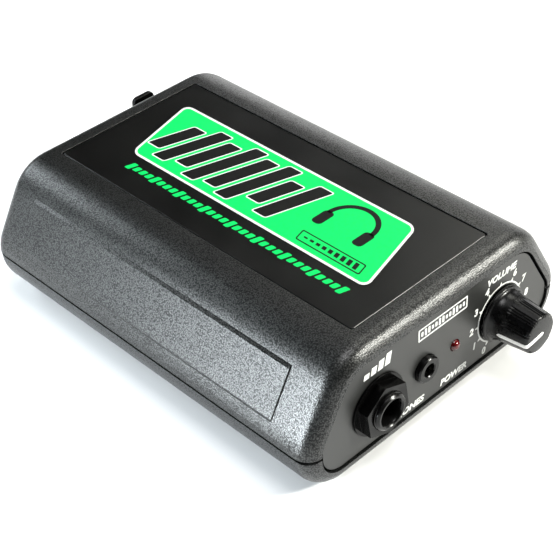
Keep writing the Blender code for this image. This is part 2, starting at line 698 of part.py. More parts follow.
# ==================================================================================================== 3.5 mm jack
def make_mini_jack(kit):
    """A small jack: housing with round nose, a sleeve contact and a tip spring."""
    location = (MINI_X, -PANEL_FACE, CONTROL_HEIGHT)
    body_front = PANEL_FACE - PANEL_BACK + FIT_GAP       # distances in from the panel face
    body_back = body_front + MINI_DEPTH
    bottom = -CONTROL_HEIGHT + BOARD_TOP + PART_LIFT
    housing = box_points((-MINI_HALF_WIDTH, body_front, bottom), (MINI_HALF_WIDTH, body_back, 4.8))
    body = kit.add("mini_jack_body", housing, "black_plastic", location)
    edge = 0.35
    nose = turned([(-body_front - 1.0, 0.0), (-body_front - 1.0, MINI_RADIUS),
                   (MINI_REACH - edge, MINI_RADIUS), (MINI_REACH, MINI_RADIUS - edge),
                   (MINI_REACH, 0.0)], 28, facing=-1.0)
    kit.join(body, "mini_nose", nose, location)
    bore = turned([(-body_back + 1.0, 0.0), (-body_back + 1.0, MINI_BORE),
                   (-4.0, MINI_BORE), (-4.0, MINI_BORE + 0.55), (-1.0, MINI_BORE + 0.55),
                   (-1.0, MINI_BORE), (MINI_REACH - 0.25, MINI_BORE),
                   (MINI_REACH + 0.75, MINI_BORE + 1.0), (MINI_REACH + 0.75, 0.0)],
                  20, facing=-1.0)
    kit.cut(body, "mini_bore", bore, location)
    pocket = box_points((1.2, body_front + 2.0, -1.0), (3.2, body_back - 2.5, 1.0))
    kit.cut(body, "mini_pocket", pocket, location)
    kit.add("mini_jack_sleeve", tube(MINI_BORE + 0.4, MINI_BORE, -3.8, -1.2, 20, facing=-1.0),
            "contact_metal", location)
    back = body_back - 3.0
    outline = [(1.5, back - 1.0), (2.8, back - 3.0), (2.8, body_front + 2.5),
               (2.55, body_front + 2.5), (2.55, back - 3.1), (1.3, back - 1.2)]
    kit.add("mini_jack_tip_spring", prism(outline, -0.7, 0.7, axis="Z"), "contact_metal", location)


# =========================================================================================================== lamp
def make_lamp(kit):
    """A 3 mm lamp in its hole, with two leads bent down to the board."""
    location = (LED_X, -PANEL_FACE, CONTROL_HEIGHT)
    rim_front = -(PANEL_FACE - PANEL_BACK) - 0.2         # behind the panel
    rim_back = rim_front - 1.0
    profile = [(rim_back, 0.0), (rim_back, LED_RIM_RADIUS), (rim_front, LED_RIM_RADIUS),
               (rim_front, LED_RADIUS), (LED_REACH - LED_RADIUS, LED_RADIUS)]
    steps = 5
    for step in range(1, steps):
        angle = math.pi / 2.0 * step / steps
        profile.append((LED_REACH - LED_RADIUS + LED_RADIUS * math.sin(angle),
                        LED_RADIUS * math.cos(angle)))
    profile.append((LED_REACH, 0.0))
    kit.add("power_led", turned(profile, 24, facing=-1.0), "led_red", location)
    start = -rim_back + FIT_GAP
    bend = start + 2.6
    bottom = -CONTROL_HEIGHT + BOARD_TOP + PART_LIFT
    outline = [(start, LEAD_HALF), (bend + LEAD_HALF, LEAD_HALF), (bend + LEAD_HALF, bottom),
               (bend - LEAD_HALF, bottom), (bend - LEAD_HALF, -LEAD_HALF), (start, -LEAD_HALF)]
    for name, side in (("anode", -1.0), ("cathode", 1.0)):
        middle = side * LEAD_SPACING
        kit.add(f"led_{name}_lead", prism(outline, middle - LEAD_HALF, middle + LEAD_HALF, axis="X"),
                "steel", location)


# ================================================================================================= volume control
def knob_profile():
    """(reach, radius) from the skirt's back edge over the knob's front, then back up inside it."""
    edge = 0.7
    outer = [(KNOB_START, KNOB_SKIRT_RADIUS - 0.3), (KNOB_START + 0.3, KNOB_SKIRT_RADIUS),
             (1.25, KNOB_SKIRT_RADIUS), (1.5, KNOB_SKIRT_RADIUS - 0.2)]
    flare_steps = 5
    start_reach, end_reach = 1.5, 5.0
    drop = KNOB_SKIRT_RADIUS - 0.2 - KNOB_WAIST_RADIUS
    for step in range(1, flare_steps + 1):
        share = step / flare_steps
        outer.append((start_reach + (end_reach - start_reach) * share,
                      KNOB_WAIST_RADIUS + drop * (1.0 - share) ** 2))
    shoulder = KNOB_REACH - 0.35 - edge
    outer.append((shoulder, KNOB_FRONT_RADIUS))
    for step in range(1, 4):
        angle = math.pi / 2.0 * step / 3.0
        outer.append((shoulder + edge * math.sin(angle),
                      KNOB_FRONT_RADIUS - edge + edge * math.cos(angle)))
    outer.append((KNOB_REACH - 0.1, 2.4))
    outer.append((KNOB_REACH, 0.0))
    inner = [(KNOB_REACH - 2.6, 0.0), (KNOB_REACH - 2.6, SHAFT_RADIUS + 0.15),
             (3.9, SHAFT_RADIUS + 0.15), (3.9, 5.3), (KNOB_START, 5.3)]
    return outer, inner


def knob_radius(reach):
    """Radius of the knob's side at a reach between waist and front."""
    share = (reach - 5.0) / (KNOB_REACH - 1.05 - 5.0)
    return KNOB_WAIST_RADIUS + (KNOB_FRONT_RADIUS - KNOB_WAIST_RADIUS) * share


def knob_ripple(angle, reach, radius):
    """Depth of the grip flutes round the knob's side."""
    if radius < KNOB_FRONT_RADIUS - 0.4 or reach < 4.9:
        return 0.0
    places = (angle - KNOB_POINTER_ANGLE) / (2.0 * math.pi) * KNOB_FLUTES
    nearest = round(places)
    from_middle = abs(places - nearest)
    if nearest % KNOB_FLUTES == 0 or from_middle > 0.25:
        return 0.0
    return FLUTE_DEPTH


def make_knob(kit):
    """Volume knob with its inlaid pointer; both turn about the knob's axis."""
    location = (VOLUME_X, -PANEL_FACE, CONTROL_HEIGHT)
    outer, inner = knob_profile()
    segments = 60
    solid = turned(inner + outer, segments, facing=-1.0, ripple=knob_ripple)
    knob = kit.add("volume_knob", solid, "knob_plastic", location, sharp=30.0)
    side_start = 5.0
    front = KNOB_REACH - 0.02
    bar = pointer_outline(side_start, front, 0.9, POINTER_PROUD, 0.0)
    groove = pointer_outline(side_start - 0.05, front + 1.5, 1.0, 1.5, 0.05)
    half = POINTER_WIDTH / 2.0
    turn = Matrix.Rotation(-KNOB_POINTER_ANGLE, 4, "Y")
    cutter = tool("pointer_groove", prism(groove, -half - 0.05, half + 0.05, axis="Z"),
                  kit.frame, location)
    cutter.rotation_euler = turn.to_euler()
    shape_with(knob, cutter, "DIFFERENCE")
    pointer = kit.add("knob_pointer", prism(bar, -half, half, axis="Z"), "pointer_white", location)
    pointer.rotation_euler = turn.to_euler()


def pointer_outline(side_start, front, depth, proud, slack):
    """The pointer's bent bar seen from its side: along the knob, round its edge, over its centre."""
    bend = 0.7
    low, high = knob_radius(side_start), knob_radius(KNOB_REACH - 1.05)
    end = -1.1 - slack
    outer = [(low + proud, side_start)]
    for step in range(5):
        angle = math.pi / 2.0 * step / 4.0
        outer.append((high + proud - bend + bend * math.cos(angle),
                      front - bend + bend * math.sin(angle)))
    outer.append((end, front))
    inner = [(end, KNOB_REACH - depth), (high - depth, KNOB_REACH - depth),
             (low - depth, side_start)]
    return [(radius, -reach) for radius, reach in outer + inner]


def make_volume_control(kit):
    """Potentiometer: housing with bushing, washer, nut and the turning shaft."""
    location = (VOLUME_X, -PANEL_FACE, CONTROL_HEIGHT)
    body_front = PANEL_FACE - PANEL_BACK + FIT_GAP
    bottom = -CONTROL_HEIGHT + BOARD_TOP + PART_LIFT
    housing = box_points((-6.0, body_front, bottom), (6.0, body_front + 8.0, 6.5))
    body = kit.add("volume_pot_body", housing, "steel", location)
    bushing_end = 3.3
    kit.join(body, "pot_bushing",
             rod(BUSHING_RADIUS, -body_front - 1.0, bushing_end, 28, facing=-1.0), location)
    kit.cut(body, "pot_bore",
            rod(SHAFT_RADIUS + 0.08, -body_front - 7.0, bushing_end + 1.0, 32, facing=-1.0), location)
    kit.add("volume_pot_washer", tube(5.0, BUSHING_RADIUS + 0.15, 0.1, 0.5, 20, facing=-1.0),
            "steel", location)
    nut = kit.add("volume_pot_nut",
                  prism(hexagon(8.4, 0.0), -0.6, -2.4), "steel", location)
    kit.cut(nut, "pot_nut_hole",
            rod(BUSHING_RADIUS + 0.15, 0.0, 3.0, 28, facing=-1.0), location)
    shaft_end = KNOB_REACH - 2.9
    chamfer = 0.4
    shaft = turned([(-body_front - 6.5, 0.0), (-body_front - 6.5, SHAFT_RADIUS),
                    (shaft_end - chamfer, SHAFT_RADIUS), (shaft_end, SHAFT_RADIUS - chamfer),
                    (shaft_end, 0.0)], 32, facing=-1.0)
    kit.add("volume_pot_shaft", shaft, "steel", location)


# ================================================================================================ rear connectors
def make_xlr(kit):
    """Three pin input socket: shell with flange, insert, contacts, two screws and a push latch."""
    location = (XLR_X, PANEL_FACE, XLR_HEIGHT)
    flange_front = SEAT_GAP + 1.8
    flange = prism(rounded_rectangle(XLR_FLANGE_HALF_WIDTH, XLR_FLANGE_HALF_HEIGHT, 2.5),
                   SEAT_GAP, flange_front)
    shell = kit.add("xlr_shell", flange, "black_plastic", location)
    barrel_back = -XLR_DEPTH
    kit.join(shell, "xlr_barrel", rod(XLR_BARREL, barrel_back, 1.0, 36), location)
    kit.cut(shell, "xlr_bore", rod(XLR_BORE, barrel_back - 1.0, flange_front + 1.0, 36), location)
    latch_slot = LATCH_HALF_WIDTH + 0.3
    kit.cut(shell, "xlr_latch_slot",
            box_points((-latch_slot, -14.5, 7.8), (latch_slot, flange_front + 1.0, 10.6)), location)
    screw_holes = merge([
        moved(rod(XLR_SCREW_RADIUS + FIT_GAP, -1.0, flange_front + 1.0, 16), (x, 0.0, z))
        for x, z in XLR_SCREWS
    ])
    kit.cut(shell, "xlr_screw_holes", screw_holes, location)
    base_front = barrel_back + 2.5
    insert = turned([(barrel_back + 0.2, 0.0), (barrel_back + 0.2, XLR_BORE - 0.15),
                     (base_front, XLR_BORE - 0.15), (base_front, XLR_INSERT_RADIUS),
                     (-0.4, XLR_INSERT_RADIUS), (0.0, XLR_INSERT_RADIUS - 0.4), (0.0, 0.0)], 32)
    insert_part = kit.add("xlr_insert", insert, "black_plastic", location)
    angles = [math.radians(a) for a in (145.0, 35.0, -90.0)]
    spots = [(XLR_PIN_CIRCLE * math.cos(a), XLR_PIN_CIRCLE * math.sin(a)) for a in angles]
    holes = merge([moved(rod(1.45, -14.0, 1.0, 16), (x, 0.0, z)) for x, z in spots])
    kit.cut(insert_part, "xlr_contact_holes", holes, location)
    for number, (x, z) in enumerate(spots, start=1):
        kit.add(f"xlr_contact_{number}", tube(1.35, 1.05, -13.5, -1.0, 14), "contact_metal",
                (XLR_X + x, PANEL_FACE, XLR_HEIGHT + z))
    for number, (x, z) in enumerate(XLR_SCREWS, start=1):
        head = flange_front + SEAT_GAP
        profile = [(-3.6, 0.0), (-3.6, XLR_SCREW_RADIUS), (head, XLR_SCREW_RADIUS), (head, 2.1),
                   (head + 0.7, 2.0), (head + 1.1, 1.3), (head + 1.1, 0.0)]
        screw = kit.add(f"xlr_screw_{number}", turned(profile, 16), "steel",
                        (XLR_X + x, PANEL_FACE, XLR_HEIGHT + z))
        kit.cut(screw, f"xlr_cross_{number}",
                box_points((-1.2, head + 0.5, -0.25), (1.2, head + 2.0, 0.25)),
                (XLR_X + x, PANEL_FACE, XLR_HEIGHT + z))
    make_latch(kit)


def make_latch(kit):
    """Push latch over the socket: a strip through the panel, its end turned up as a thumb tab."""
    location = (XLR_X, PANEL_FACE, XLR_HEIGHT)
    low = 8.3
    top = LATCH_TOP - XLR_HEIGHT
    corner = 1.5
    steps = 5
    outline = []
    for side, start in ((1.0, 0.0), (-1.0, math.pi / 2.0)):
        for step in range(steps + 1):
            angle = start + math.pi / 2.0 * step / steps
            outline.append((side * (LATCH_HALF_WIDTH - corner) + corner * math.cos(angle),
                            top - corner + corner * math.sin(angle)))
    outline += [(-LATCH_HALF_WIDTH, low), (LATCH_HALF_WIDTH, low)]
    tab = prism(outline, LATCH_REACH - LATCH_SHEET, LATCH_REACH)
    latch = kit.add("xlr_latch", tab, "black_plastic", location)
    strip_half = LATCH_HALF_WIDTH - 0.4
    strip = box_points((-strip_half, -12.0, low), (strip_half, LATCH_REACH - 0.5, low + LATCH_SHEET))
    kit.join(latch, "latch_strip", strip, location)


def make_power_inlet(kit):
    """Barrel inlet for the supply: housing with round nose and a centre pin."""
    location = (POWER_X, PANEL_FACE, CONTROL_HEIGHT)
    body_front = -(PANEL_FACE - PANEL_BACK) - FIT_GAP
    body_back = body_front - 9.3
    bottom = -CONTROL_HEIGHT + BOARD_TOP + PART_LIFT
    body = kit.add("power_inlet_body",
                   box_points((-4.8, body_back, bottom), (4.8, body_front, 5.0)),
                   "black_plastic", location)
    nose_reach = 0.8
    kit.join(body, "power_nose", rod(POWER_NOSE_RADIUS, body_front - 1.0, nose_reach, 32), location)
    kit.cut(body, "power_bore", rod(POWER_BORE, body_back + 2.0, nose_reach + 1.0, 28), location)
    pin_back = body_back + 0.6
    kit.cut(body, "power_pin_hole", rod(1.12, pin_back - 1.0, body_back + 3.0, 20), location)
    pin = turned([(pin_back, 0.0), (pin_back, 1.0), (-1.2, 1.0), (-0.8, 0.6), (-0.8, 0.0)], 20)
    kit.add("power_inlet_pin", pin, "contact_metal", location)


# ==================================================================================================== circuit board
def make_board(kit):
    """Circuit board clamped between pillars and bosses."""
    outline = rounded_rectangle(BOARD_HALF_WIDTH, BOARD_HALF_LENGTH, 2.0)
    board = kit.add("main_board", prism(outline, BOARD_BOTTOM, BOARD_TOP, axis="Z"), "board_green")
    kit.cut(board, "board_holes", rods_at(SCREW_POSITIONS, SCREW_RADIUS + FIT_GAP,
                                          BOARD_BOTTOM - 1.0, BOARD_TOP + 1.0))
    notch_half = XLR_BARREL + 0.7
    kit.cut(board, "board_notch", box_points(
        (XLR_X - notch_half, PANEL_FACE - XLR_DEPTH - 0.7, BOARD_BOTTOM - 1.0),
        (XLR_X + notch_half, BOARD_HALF_LENGTH + 1.0, BOARD_TOP + 1.0)))


def make_chips(kit):
    """Two amplifier chips, each a moulded body on two rows of legs."""
    base = BOARD_TOP + PART_LIFT
    for number, (x, y) in enumerate(CHIP_SPOTS, start=1):
        chip = kit.add(f"amplifier_chip_{number}",
                       box_points((-4.8, -3.2, base + 0.5), (4.8, 3.2, base + 3.9)),
                       "black_plastic", (x, y, 0.0))
        legs = merge([
            box_points((-3.81 + 2.54 * k - 0.3, side * 3.6 - 0.6, base),
                       (-3.81 + 2.54 * k + 0.3, side * 3.6 + 0.6, base + 2.0))
            for k in range(4) for side in (-1.0, 1.0)
        ])
        kit.join(chip, f"chip_legs_{number}", legs, (x, y, 0.0))


def make_capacitors(kit):
    """Four smoothing capacitors standing on the board."""
    base = BOARD_TOP + PART_LIFT
    crimp = 0.35
    profile = [(base, 0.0), (base, CAPACITOR_RADIUS),
               (base + 1.6, CAPACITOR_RADIUS), (base + 2.0, CAPACITOR_RADIUS - crimp),
               (base + 2.4, CAPACITOR_RADIUS), (base + CAPACITOR_HEIGHT - 0.4, CAPACITOR_RADIUS),
               (base + CAPACITOR_HEIGHT, CAPACITOR_RADIUS - 0.4), (base + CAPACITOR_HEIGHT, 0.0)]
    for number, (x, y) in enumerate(CAPACITOR_SPOTS, start=1):
        kit.add(f"capacitor_{number}", turned(profile, 16, axis="Z"), "capacitor_sleeve", (x, y, 0.0))


def make_regulator(kit):
    """Voltage regulator against a finned heat sink."""
    base = BOARD_TOP + PART_LIFT
    x, y = 2.0, 12.0
    kit.add("voltage_regulator", box_points((-5.0, -2.2, base + 2.0), (5.0, 2.2, base + 11.0)),
            "black_plastic", (x, y, 0.0))
    back, rise = -2.5, 15.0
    fins = 5
    outline = [(-8.0, back)]
    pitch = 16.0 / (2 * fins - 1)
    for fin in range(fins):
        left = -8.0 + 2.0 * pitch * fin
        outline += [(left, back - 6.0), (left + pitch, back - 6.0)]
        if fin < fins - 1:
            outline += [(left + pitch, back - 1.5), (left + 2.0 * pitch, back - 1.5)]
    outline.append((8.0, back))
    kit.add("heat_sink", prism(outline, base, base + rise, axis="Z"), "aluminium", (x, y, 0.0))


# ============================================================================================================ build
def main():
    for old in list(bpy.data.objects):
        bpy.data.objects.remove(old, do_unlink=True)
    paints = make_materials()
    frame = bpy.data.objects.new("case_frame", None)
    bpy.context.scene.collection.objects.link(frame)
    frame.location = Vector((0.0, CASE_Y, SEAM_HEIGHT)) * MM
    kit = Assembly(frame, paints)
    make_top_shell(kit)
    make_bottom_shell(kit)
    make_label(kit)
    make_feet(kit)
    make_case_screws(kit)
    make_front_panel(kit)
    make_rear_panel(kit)
    make_phone_jack(kit, "phone_jack", PHONE_X, -1.0)
    make_mini_jack(kit)
    make_lamp(kit)
    make_knob(kit)
    make_volume_control(kit)
    make_xlr(kit)
    make_phone_jack(kit, "link_jack", LINK_X, 1.0)
    make_power_inlet(kit)
    make_board(kit)
    make_chips(kit)
    make_capacitors(kit)
    make_regulator(kit)


main()
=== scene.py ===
"""Looks of the desktop headphone amplifier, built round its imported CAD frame.

Lengths are millimetres and angles are degrees until they reach Blender: MM turns lengths into the
frame's metres. X is to the right, Y to the rear and Z up, and the front panel's print measures its
height from the parting seam. Positions are taken from the frame's own CAD nodes.
"""
import json
import math

import bmesh
import bpy
from mathutils import Matrix, Vector


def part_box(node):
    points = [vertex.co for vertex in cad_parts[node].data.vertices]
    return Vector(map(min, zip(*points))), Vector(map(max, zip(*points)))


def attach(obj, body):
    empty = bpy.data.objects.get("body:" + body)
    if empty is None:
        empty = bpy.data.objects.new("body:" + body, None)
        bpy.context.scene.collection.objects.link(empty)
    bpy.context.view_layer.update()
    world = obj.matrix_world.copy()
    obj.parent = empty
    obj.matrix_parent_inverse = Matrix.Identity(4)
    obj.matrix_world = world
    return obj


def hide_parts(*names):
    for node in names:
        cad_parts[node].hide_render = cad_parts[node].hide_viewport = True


MM = 0.001
SHAFT_ABOVE_SEAM = 3.7
SEAM_GAP = 0.7
EDGE_ANGLE = 32.0          # sharper folds than this are edges and get rounded
LEDGE_ANGLE = 24.0         # the same for the top shell, whose grip pads have a low ledge

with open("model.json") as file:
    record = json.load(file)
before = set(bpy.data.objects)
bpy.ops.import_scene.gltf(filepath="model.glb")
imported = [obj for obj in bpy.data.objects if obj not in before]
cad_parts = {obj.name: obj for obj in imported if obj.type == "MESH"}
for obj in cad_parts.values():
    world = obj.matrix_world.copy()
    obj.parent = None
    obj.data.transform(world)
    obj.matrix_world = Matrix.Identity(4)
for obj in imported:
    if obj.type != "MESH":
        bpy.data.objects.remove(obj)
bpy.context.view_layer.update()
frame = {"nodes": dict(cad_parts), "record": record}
nodes = frame["nodes"]


def middle(node):
    """Centre of a CAD node's box."""
    low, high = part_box(node)
    return (low + high) / 2.0


SEAM = middle("volume_pot_shaft").z / MM - SHAFT_ABOVE_SEAM
MID_Y = middle("top_shell").y / MM
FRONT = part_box("front_panel")[0].y / MM
LABEL_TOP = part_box("top_label")[1].z / MM


# ===================================================================================== node helpers
class Finish:
    """Builds one procedural material, node by node."""

    def __init__(self, name, colour, roughness, metallic=0.0, specular=0.5, coat=0.0,
                 coat_rough=0.1):
        self.made = bpy.data.materials.new(name)
        self.made.use_nodes = True
        self.tree = self.made.node_tree
        self.shader = self.tree.nodes["Principled BSDF"]
        self.set("Base Color", (*colour, 1.0))
        self.set("Roughness", roughness)
        self.set("Metallic", metallic)
        self.set("Specular IOR Level", specular)
        if coat:
            self.set("Coat Weight", coat)
            self.set("Coat Roughness", coat_rough)
        self.where = self.tree.nodes.new("ShaderNodeTexCoord").outputs["Object"]

    def set(self, socket, value):
        """Gives one of the shader's own sockets a fixed value."""
        self.shader.inputs[socket].default_value = value

    def link(self, source, target):
        self.tree.links.new(source, target)

    def noise(self, feature_mm, detail=3.0, roughness=0.55):
        """Cloudy value between 0 and 1 with features of about the given size."""
        node = self.tree.nodes.new("ShaderNodeTexNoise")
        self.link(self.where, node.inputs["Vector"])
        node.inputs["Scale"].default_value = 1.0 / (feature_mm * MM)
        node.inputs["Detail"].default_value = detail
        node.inputs["Roughness"].default_value = roughness
        return node.outputs["Fac"]

    def cells(self, size_mm, feature="F1"):
        """Distance pattern of cells of the given size."""
        node = self.tree.nodes.new("ShaderNodeTexVoronoi")
        node.feature = feature
        self.link(self.where, node.inputs["Vector"])
        node.inputs["Scale"].default_value = 1.0 / (size_mm * MM)
        return node.outputs["Distance"]

    def stretched(self, x, y, z):
        """Later textures are squeezed by these factors along the axes."""
        node = self.tree.nodes.new("ShaderNodeMapping")
        self.link(self.where, node.inputs["Vector"])
        node.inputs["Scale"].default_value = (x, y, z)
        self.where = node.outputs["Vector"]

    def between(self, value, low, high, start=0.0, end=1.0):
        """A value rescaled from start..end to low..high."""
        node = self.tree.nodes.new("ShaderNodeMapRange")
        self.link(value, node.inputs["Value"])
        node.inputs["From Min"].default_value = start
        node.inputs["From Max"].default_value = end
        node.inputs["To Min"].default_value = low
        node.inputs["To Max"].default_value = high
        return node.outputs["Result"]

    def added(self, one, two, share=1.0):
        """one + two * share."""
        node = self.tree.nodes.new("ShaderNodeMath")
        node.operation = "MULTIPLY_ADD"
        self.link(two, node.inputs[0])
        node.inputs[1].default_value = share
        self.link(one, node.inputs[2])
        return node.outputs["Value"]

    def colours(self, value, low, high, start=0.35, end=0.65):
        """Base colour running between two colours."""
        node = self.tree.nodes.new("ShaderNodeValToRGB")
        self.link(value, node.inputs["Fac"])
        ramp = node.color_ramp
        ramp.elements[0].position = start
        ramp.elements[0].color = (*low, 1.0)
        ramp.elements[1].position = end
        ramp.elements[1].color = (*high, 1.0)
        self.link(node.outputs["Color"], self.shader.inputs["Base Color"])

    def crevice(self, reach_mm, darkest):
        """Painted shade: 1 in the open, falling to the darkest share inside gaps narrower than the
        reach.
        """
        node = self.tree.nodes.new("ShaderNodeAmbientOcclusion")
        node.samples = 8
        node.inputs["Distance"].default_value = reach_mm * MM
        return self.between(node.outputs["AO"], darkest, 1.0, 0.3, 0.85)

    def product(self, one, two):
        """one * two."""
        node = self.tree.nodes.new("ShaderNodeMath")
        node.operation = "MULTIPLY"
        self.link(one, node.inputs[0])
        self.link(two, node.inputs[1])
        return node.outputs["Value"]

    def shade(self, share):
        """Paints shade into whatever feeds the base colour, darkening it by a share between 0 and
        1.
        """
        factor, colour_a, colour_b, mixed_colour = 0, 6, 7, 2
        base = self.shader.inputs["Base Color"]
        node = self.tree.nodes.new("ShaderNodeMix")
        node.data_type = "RGBA"
        self.link(share, node.inputs[factor])
        node.inputs[colour_a].default_value = (0.0, 0.0, 0.0, 1.0)
        self.link(base.links[0].from_socket, node.inputs[colour_b])
        self.link(node.outputs[mixed_colour], base)

    def rough(self, value):
        """Roughness from a value."""
        self.link(value, self.shader.inputs["Roughness"])

    def bumps(self, *layers):
        """Surface relief from (height value, depth in mm, strength) layers."""
        normal = None
        for height, depth, strength in layers:
            node = self.tree.nodes.new("ShaderNodeBump")
            node.inputs["Distance"].default_value = depth * MM
            node.inputs["Strength"].default_value = strength
            self.link(height, node.inputs["Height"])
            if normal is not None:
                self.link(normal, node.inputs["Normal"])
            normal = node.outputs["Normal"]
        self.link(normal, self.shader.inputs["Normal"])


def edge_value(finish):
    """How exposed an edge is, from the surface's own curvature."""
    return finish.tree.nodes.new("ShaderNodeNewGeometry").outputs["Pointiness"]


# ========================================================================================= finishes
def moulded_grain():
    """Black case plastic with a fine leathery grain from an etched mould, its reflection dimmed by
    painted shade in seams and gaps.
    """
    f = Finish("case_plastic", (0.008, 0.0085, 0.008), 0.28, specular=0.55)
    patches = f.noise(9.0, detail=4.0)
    pebbles = f.between(f.cells(0.36), 1.0, 0.0, 0.1, 0.75)
    fine = f.noise(0.26, detail=2.0, roughness=0.6)
    grain = f.added(f.between(pebbles, 0.0, 0.5), fine, 0.5)
    f.colours(grain, (0.005, 0.0053, 0.0052), (0.010, 0.0105, 0.010), 0.25, 0.75)
    # The grain varies the reflection, and painted shade dims it further in seams, gaps and concave
    # corners.
    grain_shine_and_gap_shade = f.product(f.between(grain, 0.22, 0.94, 0.27, 0.73), f.crevice(1.0, 0.06))
    f.link(grain_shine_and_gap_shade, f.shader.inputs["Specular IOR Level"])
    f.rough(f.between(patches, 0.3, 0.36, 0.3, 0.7))
    f.bumps((pebbles, 0.031, 1.0), (fine, 0.025, 1.0))
    return f.made


def satin_panel():
    """Grey end panels: smooth satin with the faintest orange peel, with painted shade darkening the
    colour in tight gaps and dimming the reflection round raised parts.
    """
    f = Finish("panel_satin", (0.016, 0.016, 0.0155), 0.34, specular=0.5)
    clouds = f.noise(7.0, detail=3.0)
    f.colours(clouds, (0.013, 0.0133, 0.0125), (0.018, 0.0184, 0.0175))
    peel = f.noise(0.35, detail=2.0)
    f.rough(f.between(clouds, 0.33, 0.4, 0.3, 0.7))
    # Painted shade: the reflection dims near raised parts such as the nut and the knob.
    f.link(f.between(f.crevice(3.5, 0.0), 0.02, 0.5), f.shader.inputs["Specular IOR Level"])
    # Painted shade: the colour darkens in tight gaps.
    f.shade(f.crevice(0.9, 0.1))
    f.bumps((peel, 0.008, 0.35))
    return f.made


def printed_film():
    """Satin black top plate with a very fine tooth."""
    f = Finish("label_black", (0.0012, 0.0012, 0.001), 0.32, specular=0.38)
    clouds = f.noise(14.0, detail=4.0)
    tooth = f.noise(0.22, detail=2.0)
    f.colours(clouds, (0.0008, 0.0008, 0.0007), (0.0018, 0.0018, 0.0015))
    f.rough(f.between(clouds, 0.29, 0.35, 0.3, 0.7))
    f.bumps((tooth, 0.016, 0.6))
    return f.made


def ink(name, colour, darker, roughness=0.45):
    """Screen-printed ink with slightly uneven cover."""
    f = Finish(name, colour, roughness, specular=0.15)
    cover = f.noise(0.9, detail=5.0)
    tooth = f.noise(0.2, detail=2.0)
    f.colours(cover, darker, colour, 0.3, 0.55)
    f.rough(f.between(cover, roughness - 0.04, roughness + 0.06))
    f.bumps((tooth, 0.006, 0.4))
    return f.made


def glossy_moulding(name, colour, low, high, worn=0.0, specular=0.5):
    """Smooth black plastic; worn edges turn greyer."""
    f = Finish(name, colour, low, specular=specular)
    clouds = f.noise(2.6, detail=4.0)
    swirl = f.noise(0.3, detail=3.0)
    lighter = tuple(c + 0.004 + worn for c in colour)
    exposed = f.added(f.between(clouds, 0.0, 0.08), edge_value(f))
    f.colours(exposed, colour, lighter, 0.57, 0.8)
    f.rough(f.between(clouds, low, high, 0.3, 0.7))
    f.bumps((swirl, 0.006, 0.35))
    return f.made


def soft_rubber():
    """Matt black rubber with a sanded face."""
    f = Finish("foot_rubber", (0.018, 0.018, 0.018), 0.82, specular=0.3)
    grit = f.noise(0.25, detail=4.0)
    smears = f.noise(2.0, detail=2.0)
    f.colours(smears, (0.014, 0.014, 0.014), (0.028, 0.027, 0.026))
    f.rough(f.between(grit, 0.72, 0.92))
    f.bumps((grit, 0.05, 0.6))
    return f.made


def plated(name, colour, low, high, brush=(1.0, 1.0, 1.0)):
    """Plated metal with fine drawn lines."""
    f = Finish(name, colour, low, metallic=1.0)
    f.stretched(*brush)
    lines = f.noise(0.35, detail=4.0)
    stains = f.noise(3.0, detail=3.0)
    darker = tuple(c * 0.82 for c in colour)
    f.colours(stains, darker, colour)
    f.rough(f.between(lines, low, high))
    f.bumps((lines, 0.008, 0.3))
    return f.made


def board_mask():
    """Green solder mask over faint copper tracks."""
    f = Finish("solder_mask", (0.01, 0.12, 0.05), 0.35, specular=0.5)
    tracks = f.cells(2.6, feature="DISTANCE_TO_EDGE")
    f.colours(tracks, (0.02, 0.2, 0.08), (0.008, 0.1, 0.04), 0.05, 0.12)
    weave = f.noise(0.5, detail=2.0)
    f.rough(f.between(weave, 0.28, 0.4))
    f.bumps((tracks, 0.03, 0.2), (weave, 0.01, 0.3))
    return f.made


def lamp_lens():
    """Dark red moulded lens, unlit."""
    f = Finish("lamp_lens", (0.11, 0.004, 0.006), 0.12, specular=0.4, coat=0.3, coat_rough=0.04)
    depth = f.noise(0.8, detail=2.0)
    f.colours(depth, (0.035, 0.0015, 0.002), (0.11, 0.005, 0.006))
    ripple = f.noise(0.4)
    f.rough(f.between(ripple, 0.08, 0.16))
    f.bumps((ripple, 0.004, 0.2))
    return f.made


def sleeve_film():
    """Blue-black heat-shrink sleeve."""
    f = Finish("sleeve_film", (0.01, 0.015, 0.06), 0.3, specular=0.5)
    creases = f.noise(1.2, detail=4.0)
    f.colours(creases, (0.008, 0.012, 0.05), (0.02, 0.03, 0.1))
    f.rough(f.between(creases, 0.22, 0.38))
    f.bumps((creases, 0.03, 0.3))
    return f.made


CASE = moulded_grain()
PANEL = satin_panel()
FILM = printed_film()
INK_WHITE = ink("ink_white", (0.7, 0.71, 0.69), (0.6, 0.61, 0.59))
INK_GREEN = ink("ink_green", (0.002, 0.57, 0.11), (0.002, 0.5, 0.095), 0.4)
INK_BLACK = ink("ink_black", (0.006, 0.006, 0.0055), (0.004, 0.004, 0.004), 0.38)
SOCKET = glossy_moulding("socket_black", (0.002, 0.002, 0.002), 0.18, 0.28, 0.002, specular=0.25)
NUT = glossy_moulding("nut_black", (0.0015, 0.0015, 0.0015), 0.12, 0.2, 0.004, specular=0.12)
KNOB = glossy_moulding("knob_black", (0.002, 0.002, 0.0022), 0.24, 0.32, 0.003, specular=0.28)
POINTER = ink("pointer_inlay", (0.95, 0.95, 0.94), (0.9, 0.9, 0.88), 0.35)
RUBBER = soft_rubber()
STEEL = plated("zinc_plate", (0.62, 0.62, 0.6), 0.22, 0.4, (1.0, 6.0, 1.0))
CONTACT = plated("contact_plate", (0.78, 0.74, 0.62), 0.18, 0.34, (6.0, 1.0, 6.0))
HEAT_SINK = plated("anodised", (0.35, 0.35, 0.36), 0.35, 0.5, (1.0, 1.0, 8.0))
LATCH = glossy_moulding("latch_black", (0.002, 0.002, 0.002), 0.34, 0.42, 0.0, specular=0.12)
BOARD = board_mask()
LENS = lamp_lens()
SLEEVE = sleeve_film()


